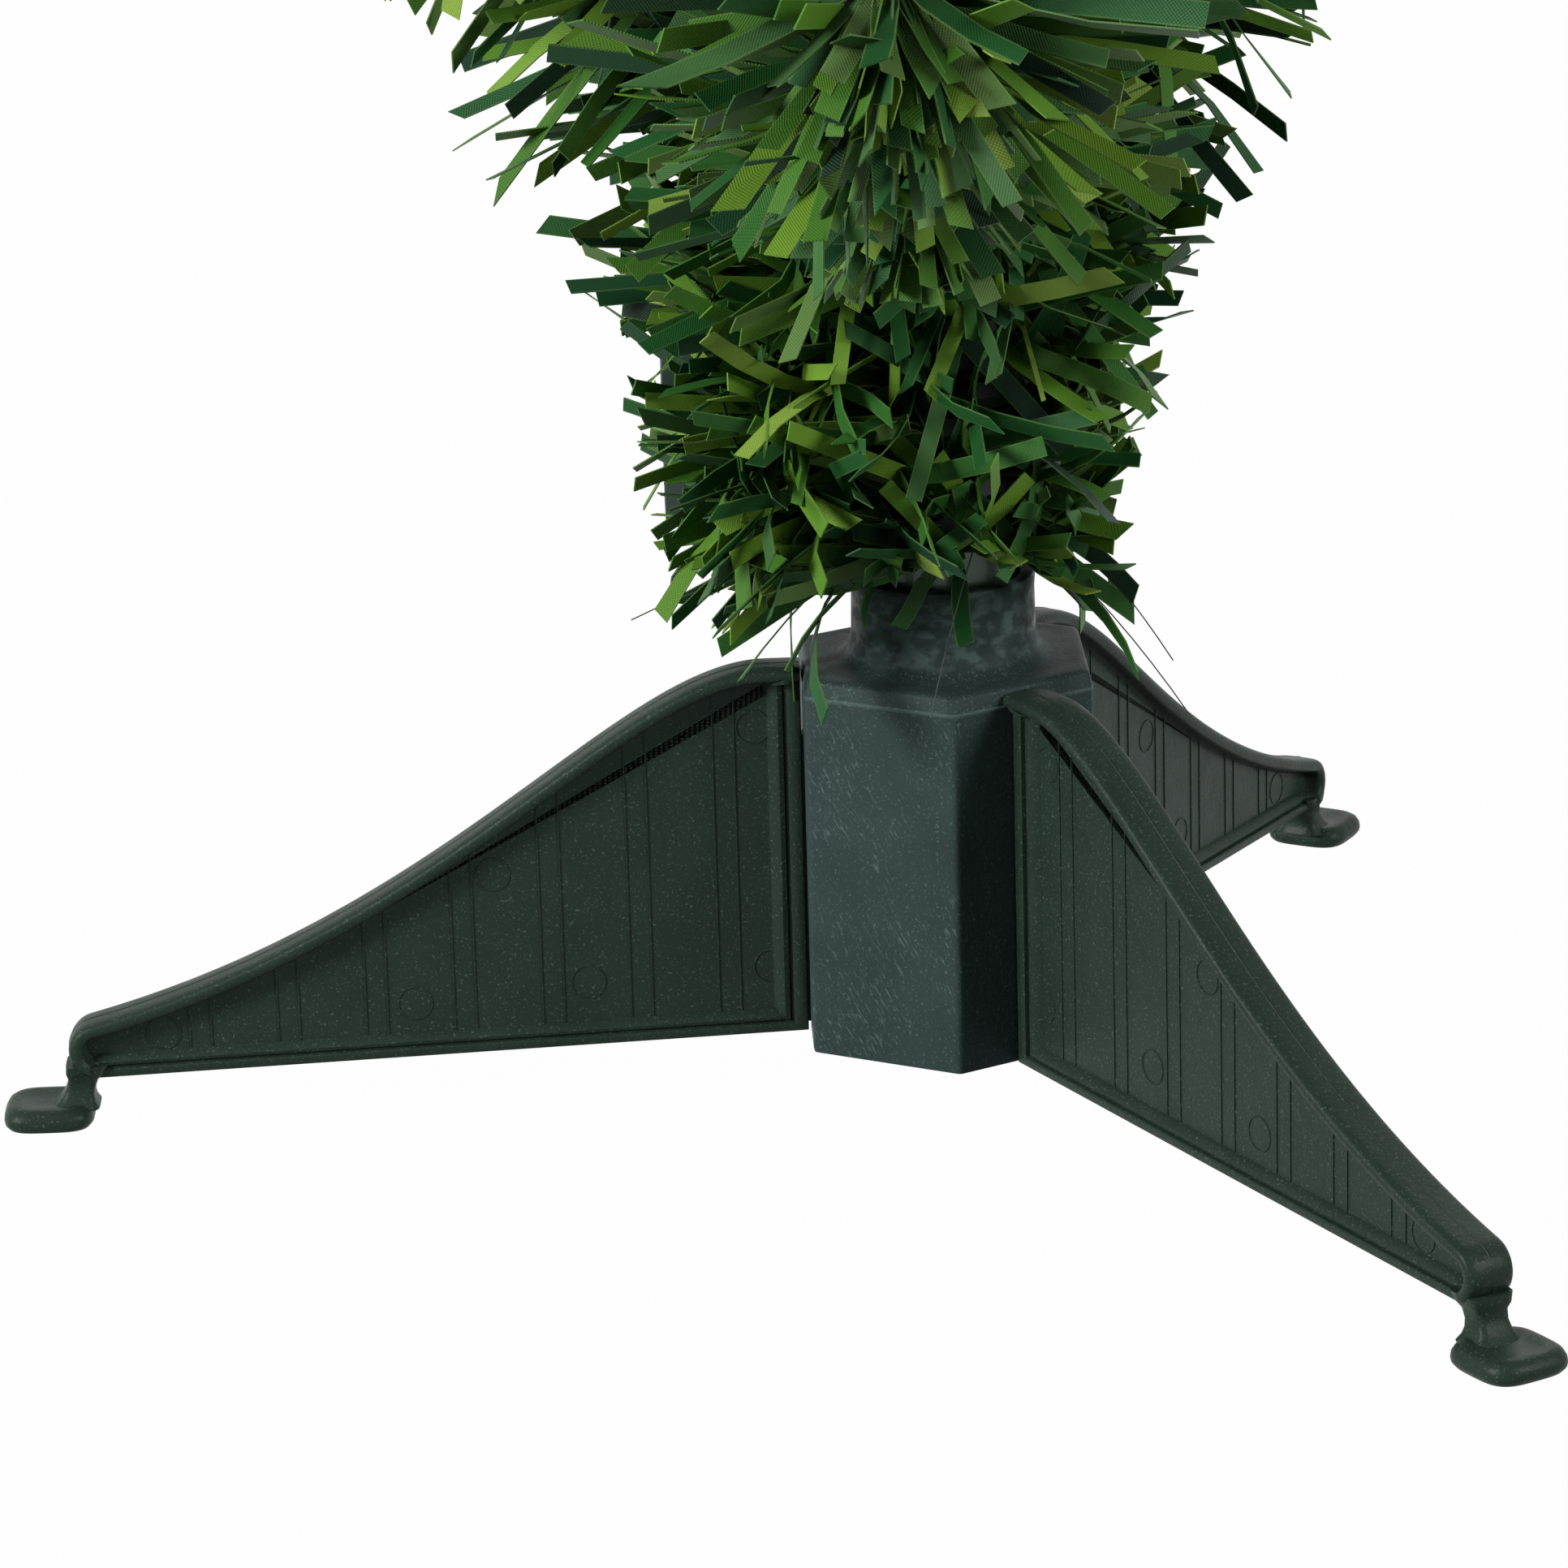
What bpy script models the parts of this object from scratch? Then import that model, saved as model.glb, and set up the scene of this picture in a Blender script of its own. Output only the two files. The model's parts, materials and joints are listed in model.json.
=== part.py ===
"""A pre-lit artificial Christmas tree for a table top, on a stand with three moulded legs.

Metres, +Z up. The origin is on the floor under the trunk. The front of the tree faces -Y.
The trunk is a steel tube that lifts out of the stand. Fifteen branches in three tiers each turn
on their own root, and each carries its needles and its stretch of the light string. A crown
closes the top, and a battery box for two small cells is clipped to the back of the trunk.
"""
import math

import bmesh
import bpy
from mathutils import Matrix, Vector

# Clearances
GAP = 0.0003
CUT_OVERRUN = 0.002

# Stand hub: a six-sided box, open beneath, with a round neck that takes the trunk
HUB_CORNER_RADIUS = 0.02115
HUB_HEIGHT = 0.0500
HUB_GROUND_GAP = 0.00935
HUB_WALL = 0.0022
HUB_TOP_PLATE = 0.0025
NECK_RADIUS = 0.01185
NECK_HEIGHT = 0.0111
NECK_FLARE = 0.0014
NECK_FLARE_HEIGHT = 0.0035
SOCKET_SEAT = 0.0025
SOCKET_SEAT_HOLE_RADIUS = 0.0065
SOCKET_RISE = 0.0040
ROUND_SIDES = 32

# Legs: a thin web inside a rim that is wider than it, with a peg and a pad under the toe
LEG_AZIMUTHS = {"leg_left": 180.0, "leg_front": 300.0, "leg_back": 60.0}
LEG_TOP_DROP = 0.0005
LEG_SHOULDER_REACH = 0.0230
LEG_SHOULDER_HANDLE = 0.0190
LEG_TOE_HANDLE = 0.0480
LEG_TOE_HANDLE_RISE = 0.0126
LEG_TIP_REACH = 0.1150
LEG_TIP_HEIGHT = 0.0062
LEG_TOE_ROUND = 0.0039
LEG_TOE_TOP_DEGREES = 75.0
LEG_TOE_FOOT_DEGREES = -60.0
LEG_CURVE_STEPS = 14
LEG_TOE_STEPS = 5
LEG_WIDTH = 0.0067
LEG_WEB = 0.0015
LEG_RIM = 0.0022
PEG_SETBACK = 0.0020
PEG_LENGTH = 0.0038
PEG_WIDTH = 0.0045
PAD_LEAD = 0.0029
PAD_SIDE = 0.0118
PAD_CORNER = 0.0040
PAD_THICKNESS = 0.0030
PAD_CORNER_STEPS = 4

# Tongue and slot that join a leg to the hub
TONGUE_THICKNESS = 0.0022
TONGUE_HEAD_WIDTH = 0.0080
TONGUE_HEAD_THICKNESS = 0.0017
TONGUE_TOP_DROP = 0.0100
TONGUE_FOOT_RISE = 0.0010

# Trunk: a steel tube, wrapped in needle tape from the neck to its top
POLE_RADIUS = 0.0095
POLE_WALL = 0.0009
POLE_TOP = 0.5400
POLE_SIDES = 24
WRAP_RADIUS = 0.0134
WRAP_SIDES = 12
WRAP_ROWS = 18
TRUNK_STRAND = 0.0260
PLUG_HEAD = 0.0050
PLUG_DEPTH = 0.0220

# Branches: one row for each tier, from the lowest
TIERS = (
    {"heights": (0.1160, 0.1400, 0.1280), "count": 6, "length": 0.2060, "first_azimuth": 266.0,
     "rise_degrees": (20.0, 46.0, 48.0), "rows": 8, "twig_rows": (2, 5), "twig": 0.082},
    {"heights": (0.2800,), "count": 6, "length": 0.1760, "first_azimuth": 290.0,
     "rise_degrees": (18.0,), "rows": 7, "twig_rows": (1, 4), "twig": 0.072},
    {"heights": (0.4200,), "count": 3, "length": 0.1340, "first_azimuth": 306.0,
     "rise_degrees": (26.0,), "rows": 5, "twig_rows": (1, 3), "twig": 0.062},
)
FRONT_BRANCH = 1
STEM_RADIUS = 0.0016
STEM_SIDES = 8
ROOT_BALL_RADIUS = 0.0018
SLEEVE_RADIUS = 0.0044
SLEEVE_SIDES = 6
SLEEVE_START = 0.0080
SLEEVE_TIP_GAP = 0.0060
STRAND_BASE = 0.0030
STRAND_LENGTH = 0.0300
STRAND_LEAN_SHARE = 0.60
TWIG_ROWS = 2
TWIG_SPREAD_SHARE = 0.85
TWIG_SHORTENING_SHARE = 0.5
TWIG_TIP_SHARE = 0.6

# Crown: the leader above the tube
CROWN_TOP = 0.8950
CROWN_STRAND = 0.0280
CROWN_ROWS = 9
CROWN_TWIG_ROWS = (0, 1, 2, 3, 4)
CROWN_TWIG = 0.095
CROWN_TWIG_SPREAD_SHARE = 1.25

# Light string: a twin lead with bulbs, up the back of the trunk and under each branch
LEAD_RADIUS = 0.0011
LEAD_START = 0.0062
LEAD_AZIMUTH = 128.0
BULB_RADIUS = 0.0025
BULB_LENGTH = 0.0080
BULB_HOLDER_RADIUS = 0.0019
BULB_HOLDER_LENGTH = 0.0050
BULB_SIDES = 6
BRANCH_BULB_SHARES = (0.42, 0.72, 0.97)
BULB_AIM_SHARES = (0.5, 0.25, -0.9)
CROWN_BULB_LIFT_SHARE = 0.6
CROWN_BULB_SHARES = (0.30, 0.55, 0.80)
LEAD_BEND_STEPS = 4

# Battery box on the back of the trunk, sized by its two cells
BOX_SHIFT = 0.0080
BOX_WALL = 0.0015
BOX_RISE = 0.0030
CELL_RADIUS = 0.00525
CELL_LENGTH = 0.0436
CELL_NUB_RADIUS = 0.0019
CELL_NUB_LENGTH = 0.0009
CELL_SIDES = 16
CELL_END_ROOM = 0.0065
COVER_THICKNESS = 0.0016
COVER_LIP = 0.0018
COVER_LIP_WALL = 0.0012
COVER_CORNER = 0.0030
COVER_GRIP = 0.0012
CLIP_HEIGHT = 0.0080
CLIP_WALL = 0.0016
CLIP_MOUTH_ANGLE = 100.0
SWITCH_TRAVEL = 0.0030
SWITCH_LENGTH = 0.0045
SWITCH_WIDTH = 0.0030
SWITCH_PROUD = 0.0015
SWITCH_PLATE = 0.0010
SWITCH_PLATE_MARGIN = 0.0012
SWITCH_SETBACK = 0.0070

# Places worked out from the sizes above
HUB_APOTHEM = HUB_CORNER_RADIUS * math.cos(math.pi / 6)
HUB_TOP = HUB_GROUND_GAP + HUB_HEIGHT
NECK_TOP = HUB_TOP + NECK_HEIGHT
PEG_REACH = LEG_TIP_REACH - PEG_SETBACK
PAD_REACH = LEG_TIP_REACH + PAD_LEAD
SOCKET_FLOOR = HUB_GROUND_GAP + SOCKET_RISE + SOCKET_SEAT
POLE_FOOT = SOCKET_FLOOR + GAP
WRAP_FOOT = NECK_TOP + BOX_RISE
HINGE_RADIUS = WRAP_RADIUS + GAP + ROOT_BALL_RADIUS
SLEEVE_APOTHEM = SLEEVE_RADIUS * math.cos(math.pi / SLEEVE_SIDES)
LEAD_DROP = SLEEVE_APOTHEM + GAP + LEAD_RADIUS
LEAD_TRUNK_RADIUS = WRAP_RADIUS + GAP + LEAD_RADIUS
CROWN_FOOT = POLE_TOP + PLUG_HEAD
BOX_WIDTH = CELL_LENGTH + CELL_NUB_LENGTH + CELL_END_ROOM + 2 * BOX_WALL
BOX_HEIGHT = 4 * CELL_RADIUS + 4 * GAP + 2 * BOX_WALL
BOX_DEPTH = BOX_WALL + 2 * CELL_RADIUS + COVER_LIP
BOX_FOOT = WRAP_FOOT
BOX_TOP = BOX_FOOT + BOX_HEIGHT
BOX_MIDDLE = BOX_FOOT + BOX_HEIGHT / 2
BOX_INNER = WRAP_RADIUS + GAP + CLIP_WALL / 2
BOX_OUTER = BOX_INNER + BOX_DEPTH
BOX_LEFT = -BOX_SHIFT - BOX_WIDTH / 2
BOX_RIGHT = -BOX_SHIFT + BOX_WIDTH / 2

COLOURS = {
    "stand": ((0.030, 0.045, 0.052), 0.45, 0.0),
    "leg": ((0.022, 0.034, 0.031), 0.50, 0.0),
    "pole": ((0.035, 0.080, 0.045), 0.40, 0.0),
    "wire": ((0.030, 0.070, 0.035), 0.50, 0.0),
    "needles": ((0.035, 0.110, 0.030), 0.55, 0.0),
    "lead": ((0.015, 0.050, 0.025), 0.45, 0.0),
    "box": ((0.020, 0.045, 0.030), 0.45, 0.0),
    "cell": ((0.300, 0.310, 0.320), 0.35, 0.6),
    "switch": ((0.012, 0.012, 0.013), 0.40, 0.0),
}


def clear_scene():
    for item in list(bpy.data.objects):
        bpy.data.objects.remove(item, do_unlink=True)


def new_collection(name):
    collection = bpy.data.collections.new(name)
    bpy.context.scene.collection.children.link(collection)
    return collection


def make_materials():
    materials = {}
    for name, (colour, roughness, metallic) in COLOURS.items():
        material = bpy.data.materials.new(name)
        material.use_nodes = True
        shader = material.node_tree.nodes["Principled BSDF"]
        shader.inputs["Base Color"].default_value = (*colour, 1.0)
        shader.inputs["Roughness"].default_value = roughness
        shader.inputs["Metallic"].default_value = metallic
        material.diffuse_color = (*colour, 1.0)
        materials[name] = material
    return materials


def scratch_object(name, mesh):
    item = bpy.data.objects.new(name, mesh)
    CUTTERS.objects.link(item)
    return item


def mesh_from_bmesh(bm, name):
    mesh = bpy.data.meshes.new(name)
    bm.to_mesh(mesh)
    bm.free()
    return mesh


def evaluated_mesh(item):
    bpy.context.view_layer.update()
    graph = bpy.context.evaluated_depsgraph_get()
    return bpy.data.meshes.new_from_object(item.evaluated_get(graph))


def welded_mesh(curve_item):
    """The mesh of a curve object, its caps welded to its sides."""
    mesh = evaluated_mesh(curve_item)
    bpy.data.objects.remove(curve_item, do_unlink=True)
    bm = bmesh.new()
    bm.from_mesh(mesh)
    bmesh.ops.remove_doubles(bm, verts=bm.verts, dist=GAP / 10)
    bm.to_mesh(mesh)
    bm.free()
    return mesh


def combine(target, tool, operation):
    """Cut the tool's shape out of the target, or join it on."""
    modifier = target.modifiers.new(operation.lower(), "BOOLEAN")
    modifier.operation = operation
    modifier.solver = "EXACT"
    modifier.object = tool
    mesh = evaluated_mesh(target)
    target.modifiers.clear()
    target.data = mesh
    bpy.data.objects.remove(tool, do_unlink=True)


def released(item):
    """The mesh of a finished scratch object, which is removed."""
    mesh = item.data
    bpy.data.objects.remove(item, do_unlink=True)
    return mesh


def box(low, high):
    size = [b - a for a, b in zip(low, high)]
    centre = [(a + b) / 2 for a, b in zip(low, high)]
    bm = bmesh.new()
    scale = Matrix.Diagonal((*size, 1.0))
    bmesh.ops.create_cube(bm, size=1.0, matrix=Matrix.Translation(centre) @ scale)
    return scratch_object("box", mesh_from_bmesh(bm, "box"))


def cylinder(radius, length, sides, end_radius=None, matrix=None):
    """A round bar along +Z from the origin, or a taper where the end radius differs."""
    bm = bmesh.new()
    top_radius = radius if end_radius is None else end_radius
    place = Matrix.Translation((0.0, 0.0, length / 2))
    bmesh.ops.create_cone(bm, cap_ends=True, segments=sides, radius1=radius,
                          radius2=top_radius, depth=length, matrix=place)
    if matrix is not None:
        bm.transform(matrix)
    return scratch_object("cylinder", mesh_from_bmesh(bm, "cylinder"))


def flat_outline(points, thickness):
    """A plate in the XY plane with this outline, half its thickness on either side."""
    curve = bpy.data.curves.new("outline", "CURVE")
    curve.dimensions = "2D"
    curve.fill_mode = "BOTH"
    curve.extrude = thickness / 2
    spline = curve.splines.new("POLY")
    spline.points.add(len(points) - 1)
    for point, (x, y) in zip(spline.points, points):
        point.co = (x, y, 0.0, 1.0)
    spline.use_cyclic_u = True
    return scratch_object("plate", welded_mesh(scratch_object("outline", curve)))


def turned(profile, sides):
    """A closed ring of (x, radius) points turned about the X axis, as a bmesh.

    Its outer points come first, in the order of rising x, so that every face looks outwards.
    """
    bm = bmesh.new()
    rings = []
    for side in range(sides):
        angle = math.tau * side / sides
        across, up = math.cos(angle), math.sin(angle)
        rings.append([bm.verts.new((x, radius * across, radius * up)) for x, radius in profile])
    for ring, after in zip(rings, rings[1:] + rings[:1]):
        for corners in zip(after, after[1:] + after[:1], ring[1:] + ring[:1], ring):
            bm.faces.new(corners)
    bm.normal_update()
    return bm


def ball(radius, sides, rows):
    """A ball as rings of latitude about the X axis, with a small flat at either end."""
    bm = bmesh.new()
    rings = []
    for row in range(rows):
        latitude = math.pi * (row + 0.5) / rows
        x, reach = -radius * math.cos(latitude), radius * math.sin(latitude)
        angles = [math.tau * side / sides for side in range(sides)]
        rings.append([bm.verts.new((x, reach * math.cos(a), reach * math.sin(a)))
                      for a in angles])
    for ring, after in zip(rings, rings[1:]):
        for corners in zip(ring, ring[1:] + ring[:1], after[1:] + after[:1], after):
            bm.faces.new(corners)
    bm.faces.new(reversed(rings[0]))
    bm.faces.new(rings[-1])
    return scratch_object("ball", mesh_from_bmesh(bm, "ball"))


def tube(points, radius, resolution):
    """A round wire through these points, with closed ends."""
    curve = bpy.data.curves.new("tube", "CURVE")
    curve.dimensions = "3D"
    curve.bevel_depth = radius
    curve.bevel_resolution = resolution
    curve.use_fill_caps = True
    spline = curve.splines.new("POLY")
    spline.points.add(len(points) - 1)
    for point, place in zip(spline.points, points):
        point.co = (*place, 1.0)
    return scratch_object("tube", welded_mesh(scratch_object("tube", curve)))


def place(name, mesh, material, parent=None, matrix=None):
    """Put one finished piece in the tree, under its name."""
    item = bpy.data.objects.new(name, mesh)
    TREE.objects.link(item)
    if not mesh.materials:
        mesh.materials.append(MATERIALS[material])
    if parent is not None:
        item.parent = parent
    if matrix is not None:
        item.matrix_local = matrix
    return item


def guide(name, matrix):
    """An empty on a joint's axis, which carries the pieces that move together."""
    item = bpy.data.objects.new(name, None)
    TREE.objects.link(item)
    item.matrix_world = matrix
    item.hide_render = True
    return item


def turned_about_z(degrees):
    return Matrix.Rotation(math.radians(degrees), 4, "Z")


# Stand

def make_hub():
    """A six-sided box with a corner towards -Y, so that its flat sides face the legs."""
    hub = cylinder(HUB_CORNER_RADIUS, HUB_HEIGHT, 6,
                   matrix=Matrix.Translation((0.0, 0.0, HUB_GROUND_GAP)))
    inner_radius = (HUB_APOTHEM - HUB_WALL) / math.cos(math.pi / 6)
    hollow_height = HUB_HEIGHT - HUB_TOP_PLATE + CUT_OVERRUN
    hollow_place = Matrix.Translation((0.0, 0.0, HUB_GROUND_GAP - CUT_OVERRUN))
    combine(hub, cylinder(inner_radius, hollow_height, 6, matrix=hollow_place), "DIFFERENCE")
    socket_foot = HUB_GROUND_GAP + SOCKET_RISE
    socket_place = Matrix.Translation((0.0, 0.0, socket_foot))
    combine(hub, cylinder(NECK_RADIUS, NECK_TOP - socket_foot, ROUND_SIDES,
                          matrix=socket_place), "UNION")
    flare_place = Matrix.Translation((0.0, 0.0, HUB_TOP - HUB_TOP_PLATE / 2))
    combine(hub, cylinder(NECK_RADIUS + NECK_FLARE, NECK_FLARE_HEIGHT + HUB_TOP_PLATE / 2,
                          ROUND_SIDES, end_radius=NECK_RADIUS - GAP,
                          matrix=flare_place), "UNION")
    bore_place = Matrix.Translation((0.0, 0.0, SOCKET_FLOOR))
    combine(hub, cylinder(POLE_RADIUS + GAP, NECK_TOP - SOCKET_FLOOR + CUT_OVERRUN, POLE_SIDES,
                          matrix=bore_place), "DIFFERENCE")
    seat_place = Matrix.Translation((0.0, 0.0, socket_foot - CUT_OVERRUN))
    seat_depth = SOCKET_SEAT + 2 * CUT_OVERRUN
    combine(hub, cylinder(SOCKET_SEAT_HOLE_RADIUS, seat_depth, POLE_SIDES,
                          matrix=seat_place), "DIFFERENCE")
    half_slot = TONGUE_THICKNESS / 2 + GAP
    slot_top = HUB_TOP - TONGUE_TOP_DROP + GAP
    for azimuth in LEG_AZIMUTHS.values():
        slot = box((HUB_APOTHEM - HUB_WALL - CUT_OVERRUN / 2, -half_slot,
                    HUB_GROUND_GAP - CUT_OVERRUN),
                   (HUB_APOTHEM + CUT_OVERRUN, half_slot, slot_top))
        slot.data.transform(turned_about_z(azimuth))
        combine(hub, slot, "DIFFERENCE")
    place("stand_hub", released(hub), "stand")


def leg_outline():
    """A leg from the side, as (reach, height) points.

    It runs flat out from the hub, down an S that is one cubic curve, round the toe on an arc
    and back along a straight underside.
    """
    top = HUB_TOP - LEG_TOP_DROP
    toe_centre = Vector((LEG_TIP_REACH - LEG_TOE_ROUND, LEG_TIP_HEIGHT + LEG_TOE_ROUND))
    toe_arc = []
    for step in range(LEG_TOE_STEPS + 1):
        turn = (LEG_TOE_FOOT_DEGREES - LEG_TOE_TOP_DEGREES) * step / LEG_TOE_STEPS
        angle = math.radians(LEG_TOE_TOP_DEGREES + turn)
        toe_arc.append(toe_centre + LEG_TOE_ROUND * Vector((math.cos(angle), math.sin(angle))))
    start = Vector((LEG_SHOULDER_REACH, top))
    end = toe_arc[0]
    first = start + Vector((LEG_SHOULDER_HANDLE, 0.0))
    second = end + Vector((-LEG_TOE_HANDLE, LEG_TOE_HANDLE_RISE))
    inner = HUB_APOTHEM + GAP
    points = [Vector((inner, HUB_GROUND_GAP)), Vector((inner, top))]
    for step in range(LEG_CURVE_STEPS):
        t = step / LEG_CURVE_STEPS
        s = 1 - t
        points.append(s**3 * start + 3 * s * s * t * first + 3 * s * t * t * second + t**3 * end)
    points.extend(toe_arc)
    points.append(Vector((toe_centre.x, LEG_TIP_HEIGHT)))
    return points


def inset(points, distance):
    """The outline moved inwards by this distance, each corner mitred."""
    moved = []
    for before, here, after in zip(points[-1:] + points[:-1], points, points[1:] + points[:1]):
        one = (here - before).normalized()
        two = (after - here).normalized()
        normal = Vector((one.y + two.y, -one.x - two.x)).normalized()
        share = max(normal.dot(Vector((one.y, -one.x))), 0.5)
        moved.append(here + normal * distance / share)
    return moved


def rounded_square(side, corner, steps):
    half = side / 2 - corner
    points = []
    for quarter in range(4):
        middle = math.radians(90.0 * quarter + 45.0)
        across = math.copysign(half, math.cos(middle))
        along = math.copysign(half, math.sin(middle))
        for step in range(steps + 1):
            angle = math.radians(90.0 * quarter + 90.0 * step / steps)
            points.append((across + corner * math.cos(angle), along + corner * math.sin(angle)))
    return points


def make_leg():
    """The leg that lies along +X. All three legs share this mesh."""
    outline = leg_outline()
    upright = Matrix.Rotation(math.pi / 2, 4, "X")
    leg = flat_outline(outline, LEG_WIDTH)
    leg.data.transform(upright)
    pocket_depth = (LEG_WIDTH - LEG_WEB) / 2 + CUT_OVERRUN
    pocket_middle = LEG_WEB / 2 + pocket_depth / 2
    for side in (-1, 1):
        pocket = flat_outline(inset(outline, LEG_RIM), pocket_depth)
        pocket.data.transform(Matrix.Translation((0.0, side * pocket_middle, 0.0)) @ upright)
        combine(leg, pocket, "DIFFERENCE")
    peg = box((PEG_REACH - PEG_LENGTH / 2, -PEG_WIDTH / 2, PAD_THICKNESS / 2),
              (PEG_REACH + PEG_LENGTH / 2, PEG_WIDTH / 2, LEG_TIP_HEIGHT + LEG_RIM))
    combine(leg, peg, "UNION")
    pad = flat_outline(rounded_square(PAD_SIDE, PAD_CORNER, PAD_CORNER_STEPS), PAD_THICKNESS)
    pad.data.transform(Matrix.Translation((PAD_REACH, 0.0, PAD_THICKNESS / 2)))
    combine(leg, pad, "UNION")
    head_outer = HUB_APOTHEM - HUB_WALL - GAP
    head_inner = head_outer - TONGUE_HEAD_THICKNESS
    tongue_foot = HUB_GROUND_GAP + TONGUE_FOOT_RISE
    tongue_top = HUB_TOP - TONGUE_TOP_DROP
    root = HUB_APOTHEM + GAP + LEG_RIM / 2
    tongue = box((head_inner + GAP, -TONGUE_THICKNESS / 2, tongue_foot),
                 (root, TONGUE_THICKNESS / 2, tongue_top))
    combine(leg, tongue, "UNION")
    head = box((head_inner, -TONGUE_HEAD_WIDTH / 2, tongue_foot + GAP),
               (head_outer, TONGUE_HEAD_WIDTH / 2, tongue_top - GAP))
    combine(leg, head, "UNION")
    return released(leg)


def make_stand():
    make_hub()
    leg_mesh = make_leg()
    for name, azimuth in LEG_AZIMUTHS.items():
        place(name, leg_mesh, "leg", matrix=turned_about_z(azimuth))


# Needles

def sleeve_profile(length, bore_radius, outer_radius, rows):
    """Length section of a sleeve: its outer side is divided so that each row has a strand's base."""
    pitch = length / rows
    profile = [(0.0, outer_radius)]
    for row in range(rows):
        middle = pitch * (row + 0.5)
        profile.append((middle - STRAND_BASE / 2, outer_radius))
        profile.append((middle + STRAND_BASE / 2, outer_radius))
    profile.append((length, outer_radius))
    profile.append((length, bore_radius))
    profile.append((0.0, bore_radius))
    return profile


def raise_strand(bm, face, along, length, lean):
    """Draw one four-sided strand out of a face, leaning along the stem."""
    centre = face.calc_center_median()
    direction = (face.normal * (1 - lean) + along * lean).normalized()
    apex = bmesh.ops.poke(bm, faces=[face])["verts"][0]
    apex.co = centre + direction * length


def grow_twig(bm, face, direction, length, strand_length):
    """Draw a side twig out of a face, with a strand on each of its sides in turn."""
    along = direction.normalized()
    step = length / TWIG_ROWS
    shrink = TWIG_TIP_SHARE ** (1 / TWIG_ROWS)
    for row in range(TWIG_ROWS):
        for reach, is_base in ((step - STRAND_BASE, False), (STRAND_BASE, True)):
            face = bmesh.ops.extrude_discrete_faces(bm, faces=[face])["faces"][0]
            centre = face.calc_center_median()
            scale = shrink if is_base else 1.0
            for vert in face.verts:
                vert.co = centre + (vert.co - centre) * scale + along * reach
            if is_base:
                sides = [other for edge in face.edges for other in edge.link_faces
                         if other is not face]
                side = sides[row % len(sides)]
                side.normal_update()
                raise_strand(bm, side, along, strand_length, STRAND_LEAN_SHARE)
    face.normal_update()
    raise_strand(bm, face, along, strand_length, 1.0)


def needle_sleeve(length, bore_radius, outer_radius, sides, rows, strand_length, strand_sides,
                  twig_rows=(), twig_length=0.0, twig_sides=None, twig_spread=TWIG_SPREAD_SHARE):
    """A sleeve along +X round a stem, with strands on the sides that strand_sides picks.

    strand_sides(row, degrees) and twig_sides(row, degrees, is_last) are true where a face of
    that row, at that angle round the stem, carries one. Degrees run from +Y towards +Z. The
    flats of the bore, and not its corners, lie at the bore radius.
    """
    bore_corner = bore_radius / math.cos(math.pi / sides)
    bm = turned(sleeve_profile(length, bore_corner, outer_radius, rows), sides)
    pitch = length / rows
    strands = []
    twigs = []
    for face in bm.faces:
        centre = face.calc_center_median()
        row = int(centre.x / pitch)
        middle = pitch * (row + 0.5)
        is_base = abs(centre.x - middle) < STRAND_BASE / 4 and abs(face.normal.x) < 0.5
        is_outside = math.hypot(centre.y, centre.z) > (bore_radius + outer_radius) / 2
        if not (is_base and is_outside):
            continue
        degrees = round(math.degrees(math.atan2(centre.z, centre.y))) % 360
        if row in twig_rows and twig_sides(row, degrees, row == twig_rows[-1]):
            twigs.append((row, face))
        elif strand_sides(row, degrees):
            strands.append(face)
    for face in strands:
        raise_strand(bm, face, Vector((1.0, 0.0, 0.0)), strand_length, STRAND_LEAN_SHARE)
    for row, face in twigs:
        outwards = Vector((1.0, 0.0, 0.0)) + face.normal * twig_spread
        reach = twig_length * (1 - TWIG_SHORTENING_SHARE * row / rows)
        grow_twig(bm, face, outwards, reach, strand_length)
    bm.normal_update()
    return mesh_from_bmesh(bm, "needles")


def branch_strand(row, degrees):
    """No strand on the underside, where the lead runs."""
    if row % 2:
        return degrees in (90, 330 if row % 4 == 1 else 210)
    return degrees in (30, 150)


def branch_twig(row, degrees, is_last):
    """A twig to each side, and one more upwards in the row nearest the tip."""
    return degrees in (30, 150) or (is_last and degrees == 90)


# Lights

def add_bulb(string, point, direction):
    """Join a holder and a bulb on to a lead, pointing along the direction."""
    aim = direction.to_track_quat("Z", "Y").to_matrix().to_4x4()
    here = Matrix.Translation(point) @ aim
    combine(string, cylinder(BULB_HOLDER_RADIUS, BULB_HOLDER_LENGTH, BULB_SIDES, matrix=here),
            "UNION")
    lens = here @ Matrix.Translation((0.0, 0.0, BULB_HOLDER_LENGTH - CUT_OVERRUN / 2))
    combine(string, cylinder(BULB_RADIUS, BULB_LENGTH, BULB_SIDES,
                             end_radius=BULB_RADIUS / 2, matrix=lens), "UNION")


def make_branch_lights(length):
    """The stretch of lead under a branch, with its bulbs."""
    start = Vector((LEAD_START, 0.0, -LEAD_DROP))
    end = Vector((length, 0.0, -LEAD_DROP))
    string = tube([start, (start + end) / 2, end], LEAD_RADIUS, 1)
    for number, share in enumerate(BRANCH_BULB_SHARES):
        side = (-1, 1, 0)[number % 3]
        forwards, sideways, upwards = BULB_AIM_SHARES
        direction = Vector((forwards, sideways * side, upwards))
        add_bulb(string, Vector((length * share, 0.0, -LEAD_DROP)), direction)
    return released(string)


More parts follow.
